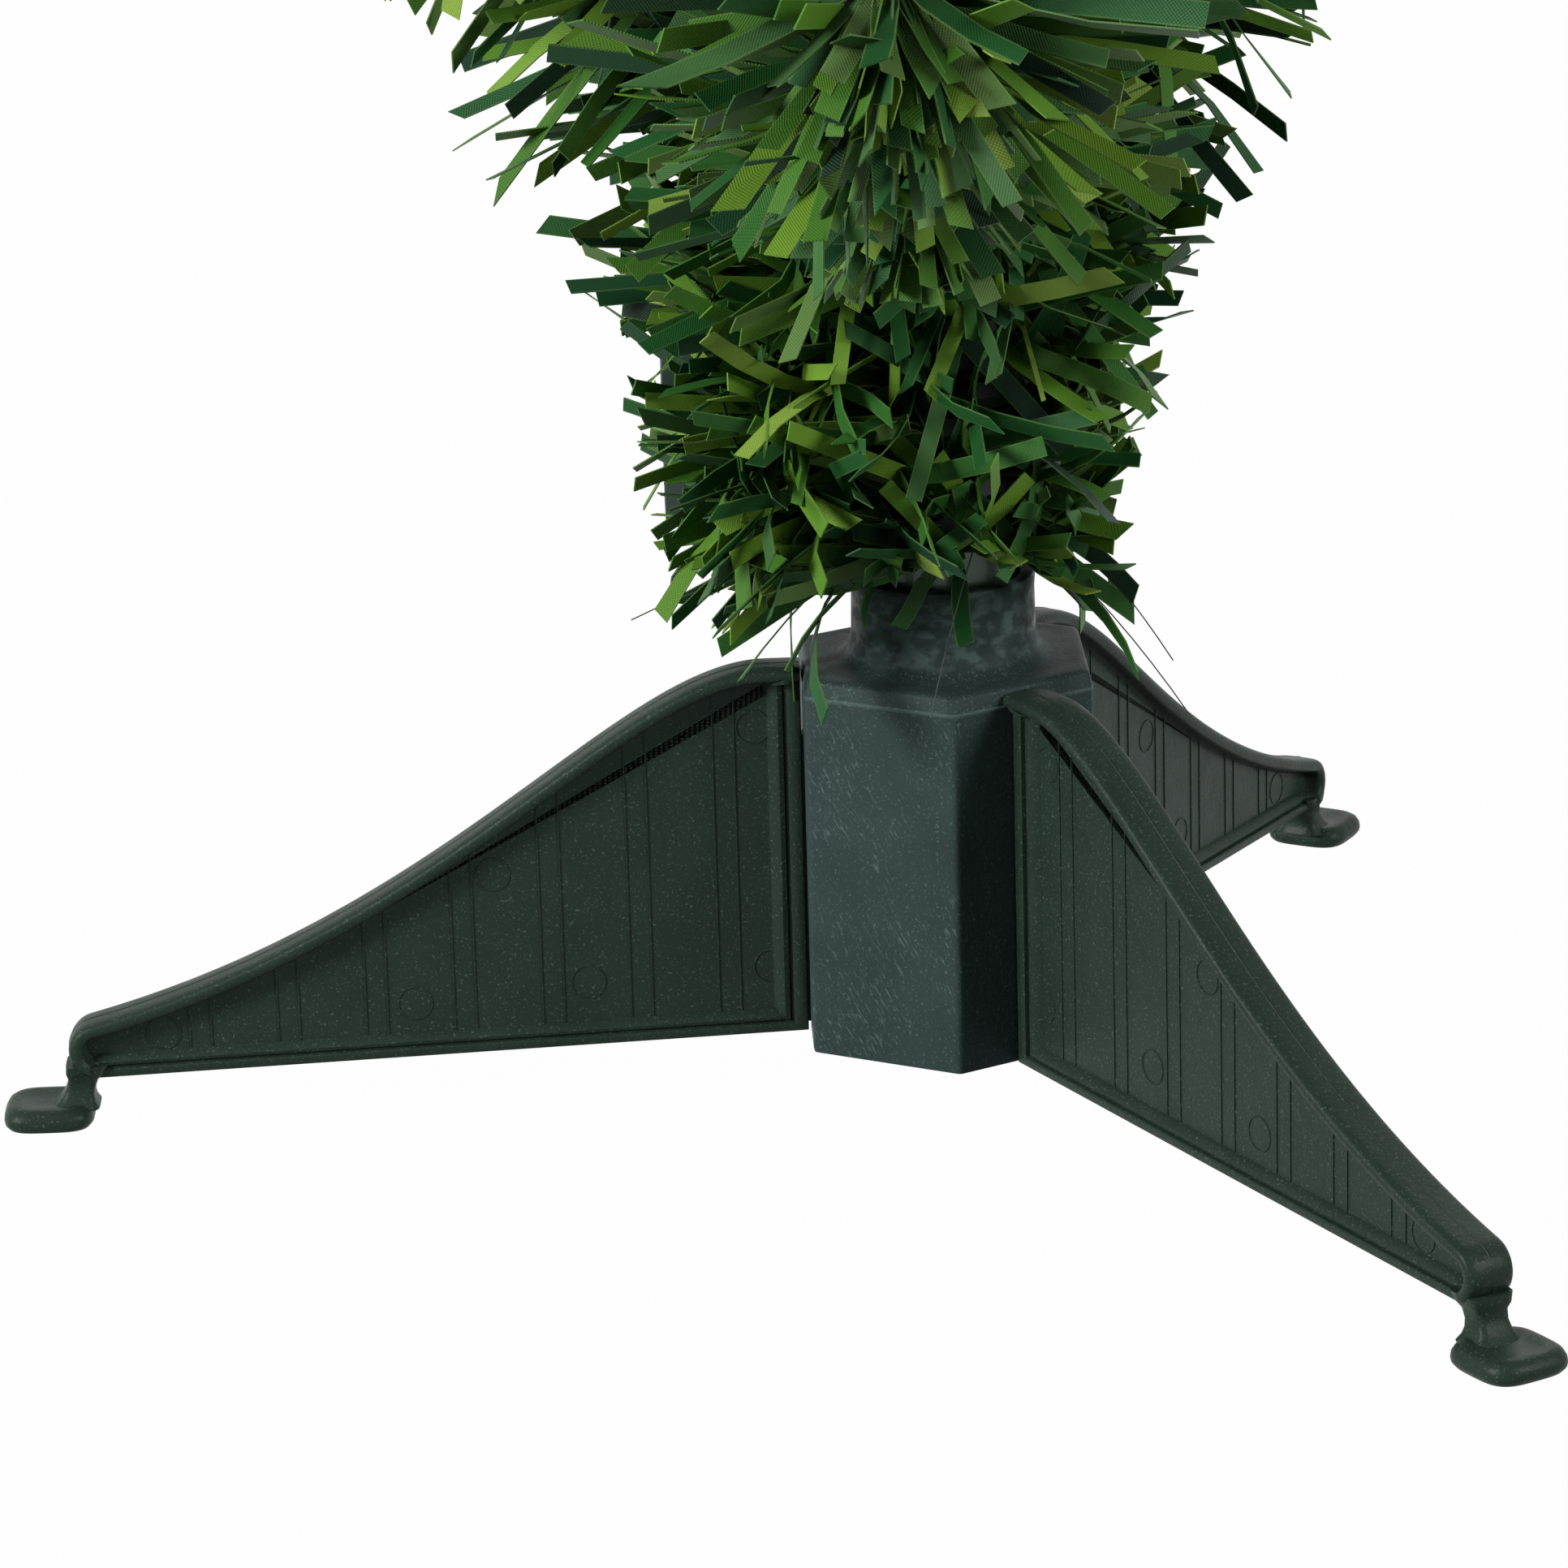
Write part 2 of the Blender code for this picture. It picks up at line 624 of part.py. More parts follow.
def smooth_route(points, steps):
    """Points along a curve through each given point, cubic from one to the next.

    The tangent at a point runs from the point before to the point after, and is as long as the
    shorter of its two runs, so that the curve never swings past a point.
    """
    ends = [2 * points[0] - points[1]] + points + [2 * points[-1] - points[-2]]
    tangents = []
    for before, here, after in zip(ends, ends[1:], ends[2:]):
        reach = min((here - before).length, (after - here).length)
        tangents.append((after - before).normalized() * reach)
    route = []
    for here, after, leave, arrive in zip(points, points[1:], tangents, tangents[1:]):
        for step in range(steps):
            t = step / steps
            route.append((1 + 2 * t) * (1 - t)**2 * here + t * (1 - t)**2 * leave
                         + t * t * (3 - 2 * t) * after + t * t * (t - 1) * arrive)
    route.append(points[-1])
    return route


def make_trunk_lights():
    """The lead from the battery box up the back of the trunk and on along the leader."""
    azimuth = math.radians(LEAD_AZIMUTH)
    outwards = Vector((math.cos(azimuth), math.sin(azimuth), 0.0))
    crown_radius = SLEEVE_RADIUS + GAP + LEAD_RADIUS
    box_exit = outwards * (BOX_INNER + BOX_DEPTH / 3)
    rise = min(TIERS[0]["heights"]) - BOX_TOP
    points = [
        box_exit + Vector((0.0, 0.0, BOX_TOP + GAP)),
        box_exit + Vector((0.0, 0.0, BOX_TOP + rise)),
        outwards * LEAD_TRUNK_RADIUS + Vector((0.0, 0.0, BOX_TOP + 4 * rise)),
        outwards * LEAD_TRUNK_RADIUS + Vector((0.0, 0.0, (BOX_TOP + POLE_TOP) / 2)),
        outwards * LEAD_TRUNK_RADIUS + Vector((0.0, 0.0, POLE_TOP - PLUG_DEPTH)),
        outwards * LEAD_TRUNK_RADIUS + Vector((0.0, 0.0, CROWN_FOOT)),
        outwards * crown_radius + Vector((0.0, 0.0, CROWN_FOOT + PLUG_DEPTH)),
        outwards * crown_radius + Vector((0.0, 0.0, CROWN_TOP - STRAND_LENGTH)),
    ]
    string = tube(smooth_route(points, LEAD_BEND_STEPS), LEAD_RADIUS, 1)
    for share in CROWN_BULB_SHARES:
        height = CROWN_FOOT + share * (CROWN_TOP - CROWN_FOOT)
        add_bulb(string, outwards * crown_radius + Vector((0.0, 0.0, height)),
                 outwards + Vector((0.0, 0.0, CROWN_BULB_LIFT_SHARE)))
    place("trunk_light_string", released(string), "lead")


# Trunk and crown

def turn_between(one, two):
    """The angle between two azimuths, in degrees from 0 to 180."""
    return abs((one - two + 180.0) % 360.0 - 180.0)


def branch_roots():
    """Each branch's tier, azimuth, root height and rise, from the lowest tier up."""
    roots = []
    for tier in TIERS:
        for turn in range(tier["count"]):
            azimuth = tier["first_azimuth"] + 360.0 * turn / tier["count"]
            height = tier["heights"][turn % len(tier["heights"])]
            rise = tier["rise_degrees"][turn % len(tier["rise_degrees"])]
            roots.append((tier, azimuth, height, rise))
    return roots


def trunk_strand(row, degrees):
    """Strands stand here and there, clear of the lead, the roots and the battery box."""
    height = WRAP_FOOT + (POLE_TOP - WRAP_FOOT) * (row + 0.5) / WRAP_ROWS
    if turn_between(degrees, LEAD_AZIMUTH) < 25.0:
        return False
    for tier, azimuth, root_height, rise in branch_roots():
        is_level = -TRUNK_STRAND < height - root_height < TRUNK_STRAND / 2
        if is_level and turn_between(degrees, azimuth) < 50.0:
            return False
    if height < BOX_TOP:
        return 200 < degrees < 340 and (degrees // 30) % 2 == 0 and row % 2 == 1
    return (degrees // 30 + 3 * row) % 6 == 0


def crown_strand(row, degrees):
    return turn_between(degrees, LEAD_AZIMUTH) > 40.0 and (degrees // 60 + row) % 2 == 0


def crown_twig(row, degrees, is_last):
    return turn_between(degrees, LEAD_AZIMUTH) > 40.0 and (degrees // 60 + row) % 2 == 1


def make_trunk():
    pole = [(POLE_FOOT, POLE_RADIUS), (POLE_TOP, POLE_RADIUS),
            (POLE_TOP, POLE_RADIUS - POLE_WALL), (POLE_FOOT, POLE_RADIUS - POLE_WALL)]
    upright = Matrix.Rotation(-math.pi / 2, 4, "Y")
    pole_mesh = mesh_from_bmesh(turned(pole, POLE_SIDES), "pole")
    pole_mesh.transform(upright)
    place("trunk_pole", pole_mesh, "pole")
    # The sleeve's own +Y and +Z turn to the tree's +X and +Y, so its degrees are azimuths
    stand_up = Matrix(((0.0, 1.0, 0.0, 0.0), (0.0, 0.0, 1.0, 0.0),
                       (1.0, 0.0, 0.0, 0.0), (0.0, 0.0, 0.0, 1.0)))
    wrap = needle_sleeve(POLE_TOP - WRAP_FOOT, POLE_RADIUS + GAP, WRAP_RADIUS, WRAP_SIDES,
                         WRAP_ROWS, TRUNK_STRAND, trunk_strand)
    wrap.transform(Matrix.Translation((0.0, 0.0, WRAP_FOOT)) @ stand_up)
    place("trunk_needles", wrap, "needles")
    crown_length = CROWN_TOP - CROWN_FOOT
    sleeve_foot = CROWN_FOOT + GAP
    crown = needle_sleeve(crown_length - SLEEVE_TIP_GAP, STEM_RADIUS + GAP, SLEEVE_RADIUS,
                          SLEEVE_SIDES, CROWN_ROWS, CROWN_STRAND, crown_strand,
                          CROWN_TWIG_ROWS, CROWN_TWIG, crown_twig, CROWN_TWIG_SPREAD_SHARE)
    crown.transform(Matrix.Translation((0.0, 0.0, sleeve_foot)) @ stand_up)
    place("crown_needles", crown, "needles")
    inner = POLE_RADIUS - POLE_WALL - GAP
    plug = cylinder(inner, PLUG_DEPTH, POLE_SIDES,
                    matrix=Matrix.Translation((0.0, 0.0, POLE_TOP - PLUG_DEPTH)))
    head = cylinder(WRAP_RADIUS, PLUG_HEAD - GAP, POLE_SIDES, end_radius=POLE_RADIUS,
                    matrix=Matrix.Translation((0.0, 0.0, POLE_TOP + GAP)))
    neck = cylinder(inner - GAP, PLUG_HEAD, POLE_SIDES,
                    matrix=Matrix.Translation((0.0, 0.0, POLE_TOP - GAP)))
    combine(plug, neck, "UNION")
    combine(plug, head, "UNION")
    bore_place = Matrix.Translation((0.0, 0.0, POLE_TOP - PLUG_DEPTH / 2))
    combine(plug, cylinder(STEM_RADIUS + GAP, PLUG_DEPTH, STEM_SIDES, matrix=bore_place),
            "DIFFERENCE")
    place("top_plug", released(plug), "box")
    stem_foot = POLE_TOP - PLUG_DEPTH / 2 + GAP
    leader = cylinder(STEM_RADIUS, CROWN_TOP - stem_foot, STEM_SIDES,
                      matrix=Matrix.Translation((0.0, 0.0, stem_foot)))
    place("crown_wire", released(leader), "wire")


# Branches

def make_stem(length):
    """A branch's twisted wire, with a ball at its root on the hinge axis."""
    along_x = Matrix.Rotation(math.pi / 2, 4, "Y")
    stem = cylinder(STEM_RADIUS, length, STEM_SIDES, matrix=along_x)
    combine(stem, ball(ROOT_BALL_RADIUS, STEM_SIDES, STEM_SIDES - 2), "UNION")
    return released(stem)


def make_branch_needles(tier, twig_rows):
    """The strands round a branch's wire, and its side twigs in the rows given."""
    sleeve_length = tier["length"] - SLEEVE_START - SLEEVE_TIP_GAP
    needles = needle_sleeve(sleeve_length, STEM_RADIUS + GAP, SLEEVE_RADIUS, SLEEVE_SIDES,
                            tier["rows"], STRAND_LENGTH, branch_strand,
                            twig_rows, tier["twig"], branch_twig)
    needles.transform(Matrix.Translation((SLEEVE_START, 0.0, 0.0)))
    return needles


def make_branch_meshes(tier):
    """The wire, needles and lights that all branches of a tier share."""
    length = tier["length"]
    return {"wire": make_stem(length), "needles": make_branch_needles(tier, tier["twig_rows"]),
            "lead": make_branch_lights(length)}


def make_branches():
    """All branches. The lowest one at the front is a single stem without side twigs."""
    meshes = [make_branch_meshes(tier) for tier in TIERS]
    single = make_branch_needles(TIERS[0], ())
    for number, (tier, azimuth, height, rise) in enumerate(branch_roots(), 1):
        shared = meshes[TIERS.index(tier)]
        hinge = (turned_about_z(azimuth)
                 @ Matrix.Translation((HINGE_RADIUS, 0.0, height))
                 @ Matrix.Rotation(-math.radians(rise), 4, "Y"))
        root = guide(f"branch_{number:02d}_hinge", hinge)
        place(f"branch_{number:02d}_wire", shared["wire"], "wire", root)
        needles = single if number == FRONT_BRANCH else shared["needles"]
        place(f"branch_{number:02d}_needles", needles, "needles", root)
        place(f"branch_{number:02d}_lights", shared["lead"], "lead", root)


# Battery box

def make_battery_case():
    """An open tray with its mouth away from the trunk, and a spring clip round the trunk."""
    case = box((BOX_LEFT, BOX_INNER, BOX_FOOT), (BOX_RIGHT, BOX_OUTER, BOX_TOP))
    hollow = box((BOX_LEFT + BOX_WALL, BOX_INNER + BOX_WALL, BOX_FOOT + BOX_WALL),
                 (BOX_RIGHT - BOX_WALL, BOX_OUTER + CUT_OVERRUN, BOX_TOP - BOX_WALL))
    combine(case, hollow, "DIFFERENCE")
    clip_foot = BOX_MIDDLE - CLIP_HEIGHT / 2
    inner = WRAP_RADIUS + GAP
    clip_place = Matrix.Translation((0.0, 0.0, clip_foot))
    clip = cylinder(inner + CLIP_WALL, CLIP_HEIGHT, ROUND_SIDES, matrix=clip_place)
    bore_place = Matrix.Translation((0.0, 0.0, clip_foot - CUT_OVERRUN))
    combine(clip, cylinder(inner, CLIP_HEIGHT + 2 * CUT_OVERRUN, ROUND_SIDES,
                           matrix=bore_place), "DIFFERENCE")
    reach = 2 * WRAP_RADIUS
    half_mouth = reach * math.tan(math.radians(CLIP_MOUTH_ANGLE / 2))
    mouth = flat_outline([(0.0, 0.0), (-half_mouth, -reach), (half_mouth, -reach)],
                         CLIP_HEIGHT + 2 * CUT_OVERRUN)
    mouth.data.transform(Matrix.Translation((0.0, 0.0, BOX_MIDDLE)))
    combine(clip, mouth, "DIFFERENCE")
    spare = box((-reach, BOX_INNER + BOX_WALL / 2, clip_foot - CUT_OVERRUN),
                (reach, BOX_OUTER, clip_foot + CLIP_HEIGHT + CUT_OVERRUN))
    combine(clip, spare, "DIFFERENCE")
    combine(case, clip, "UNION")
    slot_low = BOX_MIDDLE - (SWITCH_LENGTH + SWITCH_TRAVEL) / 2 - GAP
    slot_high = BOX_MIDDLE + (SWITCH_LENGTH + SWITCH_TRAVEL) / 2 + GAP
    slot_middle = BOX_INNER + SWITCH_SETBACK
    half_slot = SWITCH_WIDTH / 2 + GAP
    slot = box((BOX_RIGHT - BOX_WALL - CUT_OVERRUN / 2, slot_middle - half_slot, slot_low),
               (BOX_RIGHT + CUT_OVERRUN, slot_middle + half_slot, slot_high))
    combine(case, slot, "DIFFERENCE")
    place("battery_case", released(case), "box")


def make_battery_cover():
    """A flat lid with a raised lip that enters the tray and a grip ridge outside."""
    inner = BOX_OUTER + GAP
    upright = Matrix.Rotation(math.pi / 2, 4, "X")
    half_width = BOX_WIDTH / 2
    half_height = BOX_HEIGHT / 2
    corner = COVER_CORNER / 2
    outline = [(half_width, half_height - corner), (half_width - corner, half_height),
               (corner - half_width, half_height), (-half_width, half_height - corner),
               (-half_width, corner - half_height), (corner - half_width, -half_height),
               (half_width - corner, -half_height), (half_width, corner - half_height)]
    cover = flat_outline(outline, COVER_THICKNESS)
    centre = Matrix.Translation((-BOX_SHIFT, inner + COVER_THICKNESS / 2, BOX_MIDDLE))
    cover.data.transform(centre @ upright)
    lip_left = BOX_LEFT + BOX_WALL + GAP
    lip_right = BOX_RIGHT - BOX_WALL - GAP
    lip_z = half_height - BOX_WALL - GAP
    lip = box((lip_left, inner - COVER_LIP, BOX_MIDDLE - lip_z),
              (lip_right, inner + COVER_THICKNESS / 2, BOX_MIDDLE + lip_z))
    core = box((lip_left + COVER_LIP_WALL, inner - COVER_LIP - CUT_OVERRUN,
                BOX_MIDDLE - lip_z + COVER_LIP_WALL),
               (lip_right - COVER_LIP_WALL, inner, BOX_MIDDLE + lip_z - COVER_LIP_WALL))
    combine(lip, core, "DIFFERENCE")
    combine(cover, lip, "UNION")
    outer = inner + COVER_THICKNESS
    grip = box((-BOX_SHIFT - BOX_WIDTH / 8, outer - COVER_THICKNESS / 2,
                BOX_TOP - 3 * COVER_GRIP),
               (-BOX_SHIFT + BOX_WIDTH / 8, outer + COVER_GRIP, BOX_TOP - 2 * COVER_GRIP))
    combine(cover, grip, "UNION")
    place("battery_cover", released(cover), "box")


def make_cells():
    """Two cylinder cells side by side, head to tail."""
    pitch = CELL_RADIUS + GAP
    across = BOX_INNER + BOX_WALL + GAP + CELL_RADIUS
    for name, side in (("battery_cell_upper", 1), ("battery_cell_lower", -1)):
        along_x = Matrix.Rotation(side * math.pi / 2, 4, "Y")
        start = -BOX_SHIFT - side * (CELL_LENGTH + CELL_NUB_LENGTH) / 2
        here = Matrix.Translation((start, across, BOX_MIDDLE + side * pitch)) @ along_x
        cell = cylinder(CELL_RADIUS, CELL_LENGTH, CELL_SIDES, matrix=here)
        nub_place = here @ Matrix.Translation((0.0, 0.0, CELL_LENGTH - CUT_OVERRUN))
        combine(cell, cylinder(CELL_NUB_RADIUS, CELL_NUB_LENGTH + CUT_OVERRUN, CELL_SIDES // 2,
                               matrix=nub_place), "UNION")
        place(name, released(cell), "cell")


def make_switch():
    """A slider in the end wall, with a plate inside that keeps it in its slot."""
    middle = BOX_INNER + SWITCH_SETBACK
    foot = BOX_MIDDLE - (SWITCH_LENGTH + SWITCH_TRAVEL) / 2
    wall_inside = BOX_RIGHT - BOX_WALL
    plate_outer = wall_inside - GAP
    knob = box((plate_outer - SWITCH_PLATE / 2, middle - SWITCH_WIDTH / 2, foot),
               (BOX_RIGHT + SWITCH_PROUD, middle + SWITCH_WIDTH / 2, foot + SWITCH_LENGTH))
    half_plate = SWITCH_WIDTH / 2 + SWITCH_PLATE_MARGIN
    plate = box((plate_outer - SWITCH_PLATE, middle - half_plate, foot - SWITCH_PLATE_MARGIN),
                (plate_outer, middle + half_plate, foot + SWITCH_LENGTH + SWITCH_PLATE_MARGIN))
    combine(knob, plate, "UNION")
    place("battery_switch", released(knob), "switch")


def make_battery_box():
    make_battery_case()
    make_battery_cover()
    make_cells()
    make_switch()


clear_scene()
TREE = new_collection("prelit_tree")
CUTTERS = new_collection("cutters")
MATERIALS = make_materials()
make_stand()
make_trunk()
make_trunk_lights()
make_branches()
make_battery_box()
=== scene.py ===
"""Looks of a small pre-lit artificial Christmas tree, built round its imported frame. Metres, +Z up.

The camera looks at the stand and the lowest branches. Every piece rides on the body it belongs
to: the stand, one of three legs, the trunk, a branch, or the lid or slider of the battery box.
"""
import json
import math

import bmesh
import bpy
import numpy as np
from mathutils import Matrix, Vector


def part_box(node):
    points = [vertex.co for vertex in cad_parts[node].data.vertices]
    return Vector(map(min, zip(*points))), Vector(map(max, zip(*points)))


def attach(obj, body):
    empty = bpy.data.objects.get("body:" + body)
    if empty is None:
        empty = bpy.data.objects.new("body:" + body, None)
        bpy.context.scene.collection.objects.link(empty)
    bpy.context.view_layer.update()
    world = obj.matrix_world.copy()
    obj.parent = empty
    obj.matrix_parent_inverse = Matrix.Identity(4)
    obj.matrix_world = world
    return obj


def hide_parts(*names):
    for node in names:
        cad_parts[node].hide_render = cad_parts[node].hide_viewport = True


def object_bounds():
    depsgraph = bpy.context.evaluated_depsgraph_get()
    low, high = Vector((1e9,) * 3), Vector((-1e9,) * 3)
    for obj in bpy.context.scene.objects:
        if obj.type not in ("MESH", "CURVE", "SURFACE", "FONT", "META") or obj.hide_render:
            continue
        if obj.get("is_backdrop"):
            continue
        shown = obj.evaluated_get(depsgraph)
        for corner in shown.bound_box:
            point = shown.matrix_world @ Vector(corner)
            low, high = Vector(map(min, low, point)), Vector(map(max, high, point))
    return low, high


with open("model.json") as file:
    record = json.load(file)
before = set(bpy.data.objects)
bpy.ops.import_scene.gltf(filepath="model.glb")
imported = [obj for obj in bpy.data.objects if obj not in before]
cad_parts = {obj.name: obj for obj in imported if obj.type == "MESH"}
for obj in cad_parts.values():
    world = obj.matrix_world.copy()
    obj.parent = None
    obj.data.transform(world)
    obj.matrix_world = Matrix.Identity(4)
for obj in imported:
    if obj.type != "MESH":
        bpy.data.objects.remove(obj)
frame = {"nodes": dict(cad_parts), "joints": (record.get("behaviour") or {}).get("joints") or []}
CAD_LOW, CAD_HIGH = (np.array(corner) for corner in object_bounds())

# The photograph's camera
VIEW_AZIMUTH = -91.42
VIEW_ELEVATION = 17.21
VIEW_ROLL = -1.57
VIEW_DISTANCE = 0.842
VIEW_TARGET_SIDE = -0.02097
VIEW_TARGET_HEIGHT = 0.04226
FOCAL_PIXELS = 8034.0
PHOTO_PIXELS = 1932.0
SENSOR_MM = 36.0

# Stand hub
HUB_FLAT = 0.018316
HUB_CORNER = 0.0008
HUB_FOOT = 0.00935
HUB_TOP = 0.05935
HUB_WALL = 0.0022
HUB_PLATE = 0.0025
HUB_BAND = 0.0024
HUB_BAND_LEAN = 0.00045
HUB_FLASH = 0.00012
HUB_EDGE = 0.0005
NECK_RADIUS = 0.01185
NECK_TOP = 0.07045
NECK_FILLET = 0.0024
BORE_RADIUS = 0.0098
SEAT_TOP = 0.01585
SEAT_FOOT = 0.01335
SEAT_HOLE = 0.0065
SLOT_HALF_WIDTH = 0.0014
SLOT_TOP = 0.04965

# Legs
LEG_AZIMUTHS = {"leg_left": 180.0, "leg_front": 300.0, "leg_back": 60.0}
LEG_ROOT = 0.018616
LEG_TOP = 0.05885
SHOULDER_REACH = 0.0230
SHOULDER_HANDLE = 0.0190
TOE_HANDLE = 0.0480
TOE_HANDLE_RISE = 0.0126
TIP_REACH = 0.1150
TIP_HEIGHT = 0.0062
TOE_ROUND = 0.0039
LEG_HALF_WIDTH = 0.00335
WEB_HALF = 0.00075
TOP_RIM = 0.0024
FOOT_RIM = 0.0030
HUB_RIM = 0.0044
PAD_REACH = 0.1179
PAD_HALF = 0.0059
PEG_REACH = 0.1130
PEG_HALF = (0.0019, 0.0022)
PEG_NECK = 0.0068
PEG_LEAN = 0.0012 / 0.0038
RAIL_GAP = 0.0003
RAIL_HEAD_DEPTH = 0.0017
RAIL_HEAD_HALF = 0.0040
RAIL_HALF = 0.0011
RAIL_ROOT = 0.0012
RAIL_FOOT = HUB_FOOT + 0.0010
RAIL_TOP = HUB_TOP - 0.0100
MARK_RADIUS = 0.0022
MARK_HALF = 0.00011
MARK_PROUD = 0.00014
MARK_PLACES = ((0.0248, 0.0505), (0.0233, 0.0180), (0.0471, 0.0167), (0.0590, 0.0318),
               (0.0697, 0.0146), (0.1025, 0.0118))
LINE_START = 0.0273
LINE_PITCH = 0.0115
LINE_GAP = 0.0028
LINE_PAIRS = 7
LINE_HALF = 0.00012
WELD = 1e-6

# Trunk, branches and needles
POLE_RADIUS = 0.0095
POLE_WALL = 0.0009
POLE_EDGE = 0.0002
POLE_FOOT = 0.01615
POLE_TOP = 0.5400
TAPE_RADIUS = 0.0114
TAPE_HALF = 0.0021
TAPE_FOOT = 0.07345
TAPE_TURNS = 110
NEEDLE_WIDTH = 0.0023
NEEDLE_THICKNESS = 0.00018
NEEDLE_LONGEST = 0.0420
STRAND_RADIUS = 0.0008
WIRE_PITCH = 0.0090
LEAD_RADIUS = 0.0006
LEAD_DROP = 0.0052
LEAD_START = 0.0062
CROWN_TOP = 0.8950
CROWN_SLEEVE = 0.5453
CROWN_NEEDLES_FOOT = 0.5460
CROWN_BARE = 0.0200
CROWN_ROWS = 9
CROWN_TWIG = 0.0950
CROWN_LENGTHS = (0.0220, 0.0340)
LEADER_FOOT = 0.5293
TWIG_ROWS_OF_BRANCH = {8: ((2, 5), 0.082), 7: ((1, 4), 0.072), 5: ((1, 3), 0.062)}
SLEEVE_START = 0.0080
SLEEVE_TIP_GAP = 0.0060
TWIG_SPREAD = 0.85
ROOT_BALL = 0.0018
BRUSH_START = 0.0040
BRUSH_SHORTEST = 0.0250
SHORTEST_CUT = 0.0070
BRUSH_LONGEST = 0.0370
LOW_BRANCHES = 6
FRONT_BRANCH = 1
BULB_SHARES = (0.42, 0.72, 0.97)
FRONT_TRIM_HEIGHT = 0.1142
FRONT_TRIM_SLOPE = 0.228
FRINGE = 0.0040
BRUSH_PITCH = 0.0070
BRUSH_CORE = 0.0006
TWIG_FRINGE = 0.0080
LEAST_SINK = 0.001
TIP_DEPTH = 0.0005
HANGING_LENGTHS = (0.0200, 0.0340)
VEIL_LENGTHS = (0.0135, 0.0200)
VEIL_AHEAD = (0.0010, 0.0100)
LEAST_TRIM_SHARE = 0.72
WRAP_ROOT = 0.0108
HAIR_RADIUS = 0.00009
NECK_CLEAR = 0.0670
NECK_VIEW_SHARE = 0.31
NECK_FALL_SHARE = 0.35

# Light string, plug and battery box
BOX_TOP = 0.09865
BOX_INNER = 0.0145
LEAD_AZIMUTH = 128.0
LEAD_EXIT_RADIUS = 0.0191
LEAD_TRUNK_RADIUS = 0.0148
LEAD_CROWN_RADIUS = 0.0058
LEAD_TWIST = 0.0280
LEAD_END_GAP = 0.0300
CROWN_FOOT = 0.5450
PLUG_FOOT = 0.5180
PLUG_BORE = 0.0019
PLUG_BORE_FOOT = 0.5290
PLUG_INNER = 0.0083
PLUG_HEAD = 0.0134
PLUG_EDGE = 0.00018
CELL_RADIUS = 0.00525
CELL_ROUND = 0.0005
CELL_NUB = 0.0019
CELL_NUB_RISE = 0.0009
SOFT_EDGE = 0.00035
RIDGE_RADIUS = 0.00035

# Finishes and meshes
SHARP_DEGREES = 35.0
SOFT_DEGREES = 40.0
CUT_MARGIN = 0.001
GRAIN_DEPTH = 0.00010
EMBOSS_DEPTH = 0.00003
FAINT_DEPTH = 0.00004
FAINT_GRAIN = 900

STOCK = {}


def rows_of(*columns):
    """Points from columns of numbers, which may be single values: one row each."""
    return np.stack(np.broadcast_arrays(*[np.asarray(c, float) for c in columns]), -1)


def unit(vectors):
    """Each vector divided by its own length."""
    return vectors / np.maximum(np.linalg.norm(vectors, axis=-1, keepdims=True), 1e-12)


def square_pair(along):
    """Two directions square to this one and to each other."""
    fixed = (0.0, 0.0, 1.0) if abs(along[2]) < 0.9 else (0.0, 1.0, 0.0)
    first = unit(np.cross(along, fixed))
    return first, np.cross(along, first)


def placing(first, second, third, place):
    """The 4 by 4 matrix with these axes and this place."""
    table = np.eye(4)
    for column, values in enumerate((first, second, third, place)):
        table[:3, column] = values
    return table


def put(points, table):
    """Points multiplied by a 4 by 4 matrix."""
    return np.asarray(points, float) @ table[:3, :3].T + table[:3, 3]


def new_object(name, data):
    """An object with this data, linked to the scene."""
    item = bpy.data.objects.new(name, data)
    bpy.context.scene.collection.objects.link(item)
    return item


def smoothed(mesh, degrees):
    """Smooth shading, with edges sharp past this angle."""
    mesh.shade_smooth()
    mesh.set_sharp_from_angle(angle=math.radians(degrees))
    return mesh


def applied(item, degrees):
    """The item's mesh with its modifiers applied and shaded smooth. The item is removed."""
    bpy.context.view_layer.update()
    graph = bpy.context.evaluated_depsgraph_get()
    mesh = bpy.data.meshes.new_from_object(item.evaluated_get(graph))
    bpy.data.objects.remove(item)
    return smoothed(mesh, degrees)


def swung(angle, first, second):
    """The first direction turned by an angle towards the second."""
    return np.cos(angle) * first + np.sin(angle) * second


def around(angle, radius=1.0, height=0.0):
    """Points at this turn about Z, this far out and this high."""
    return rows_of(radius * np.cos(angle), radius * np.sin(angle), height + 0 * angle)


def line_of(start, end):
    """A line's start, its run to the end, its length and its direction."""
    start = np.asarray(start, float)
    run = np.asarray(end, float) - start
    span = np.linalg.norm(run)
    return start, run, span, run / span


def end_caps(rows, columns):
    """The two polygons that close the ends of a grid whose columns go round."""
    return range(columns)[::-1], range((rows - 1) * columns, rows * columns)


def corners_of(node):
    """Low and high corners of a solid."""
    return (np.array(corner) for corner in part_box(node))


def grid_faces(rows, columns, loop_rows=False, loop_columns=False):
    """Quads between neighbouring points of a grid of rows by columns, either way closed."""
    row = np.arange(rows if loop_rows else rows - 1)
    column = np.arange(columns if loop_columns else columns - 1)
    row, column = np.meshgrid(row, column, indexing="ij")
    here = row * columns
    after = ((row + 1) % rows) * columns
    beside = (column + 1) % columns
    return np.stack([here + column, here + beside, after + beside, after + column],
                    -1).reshape(-1, 4)


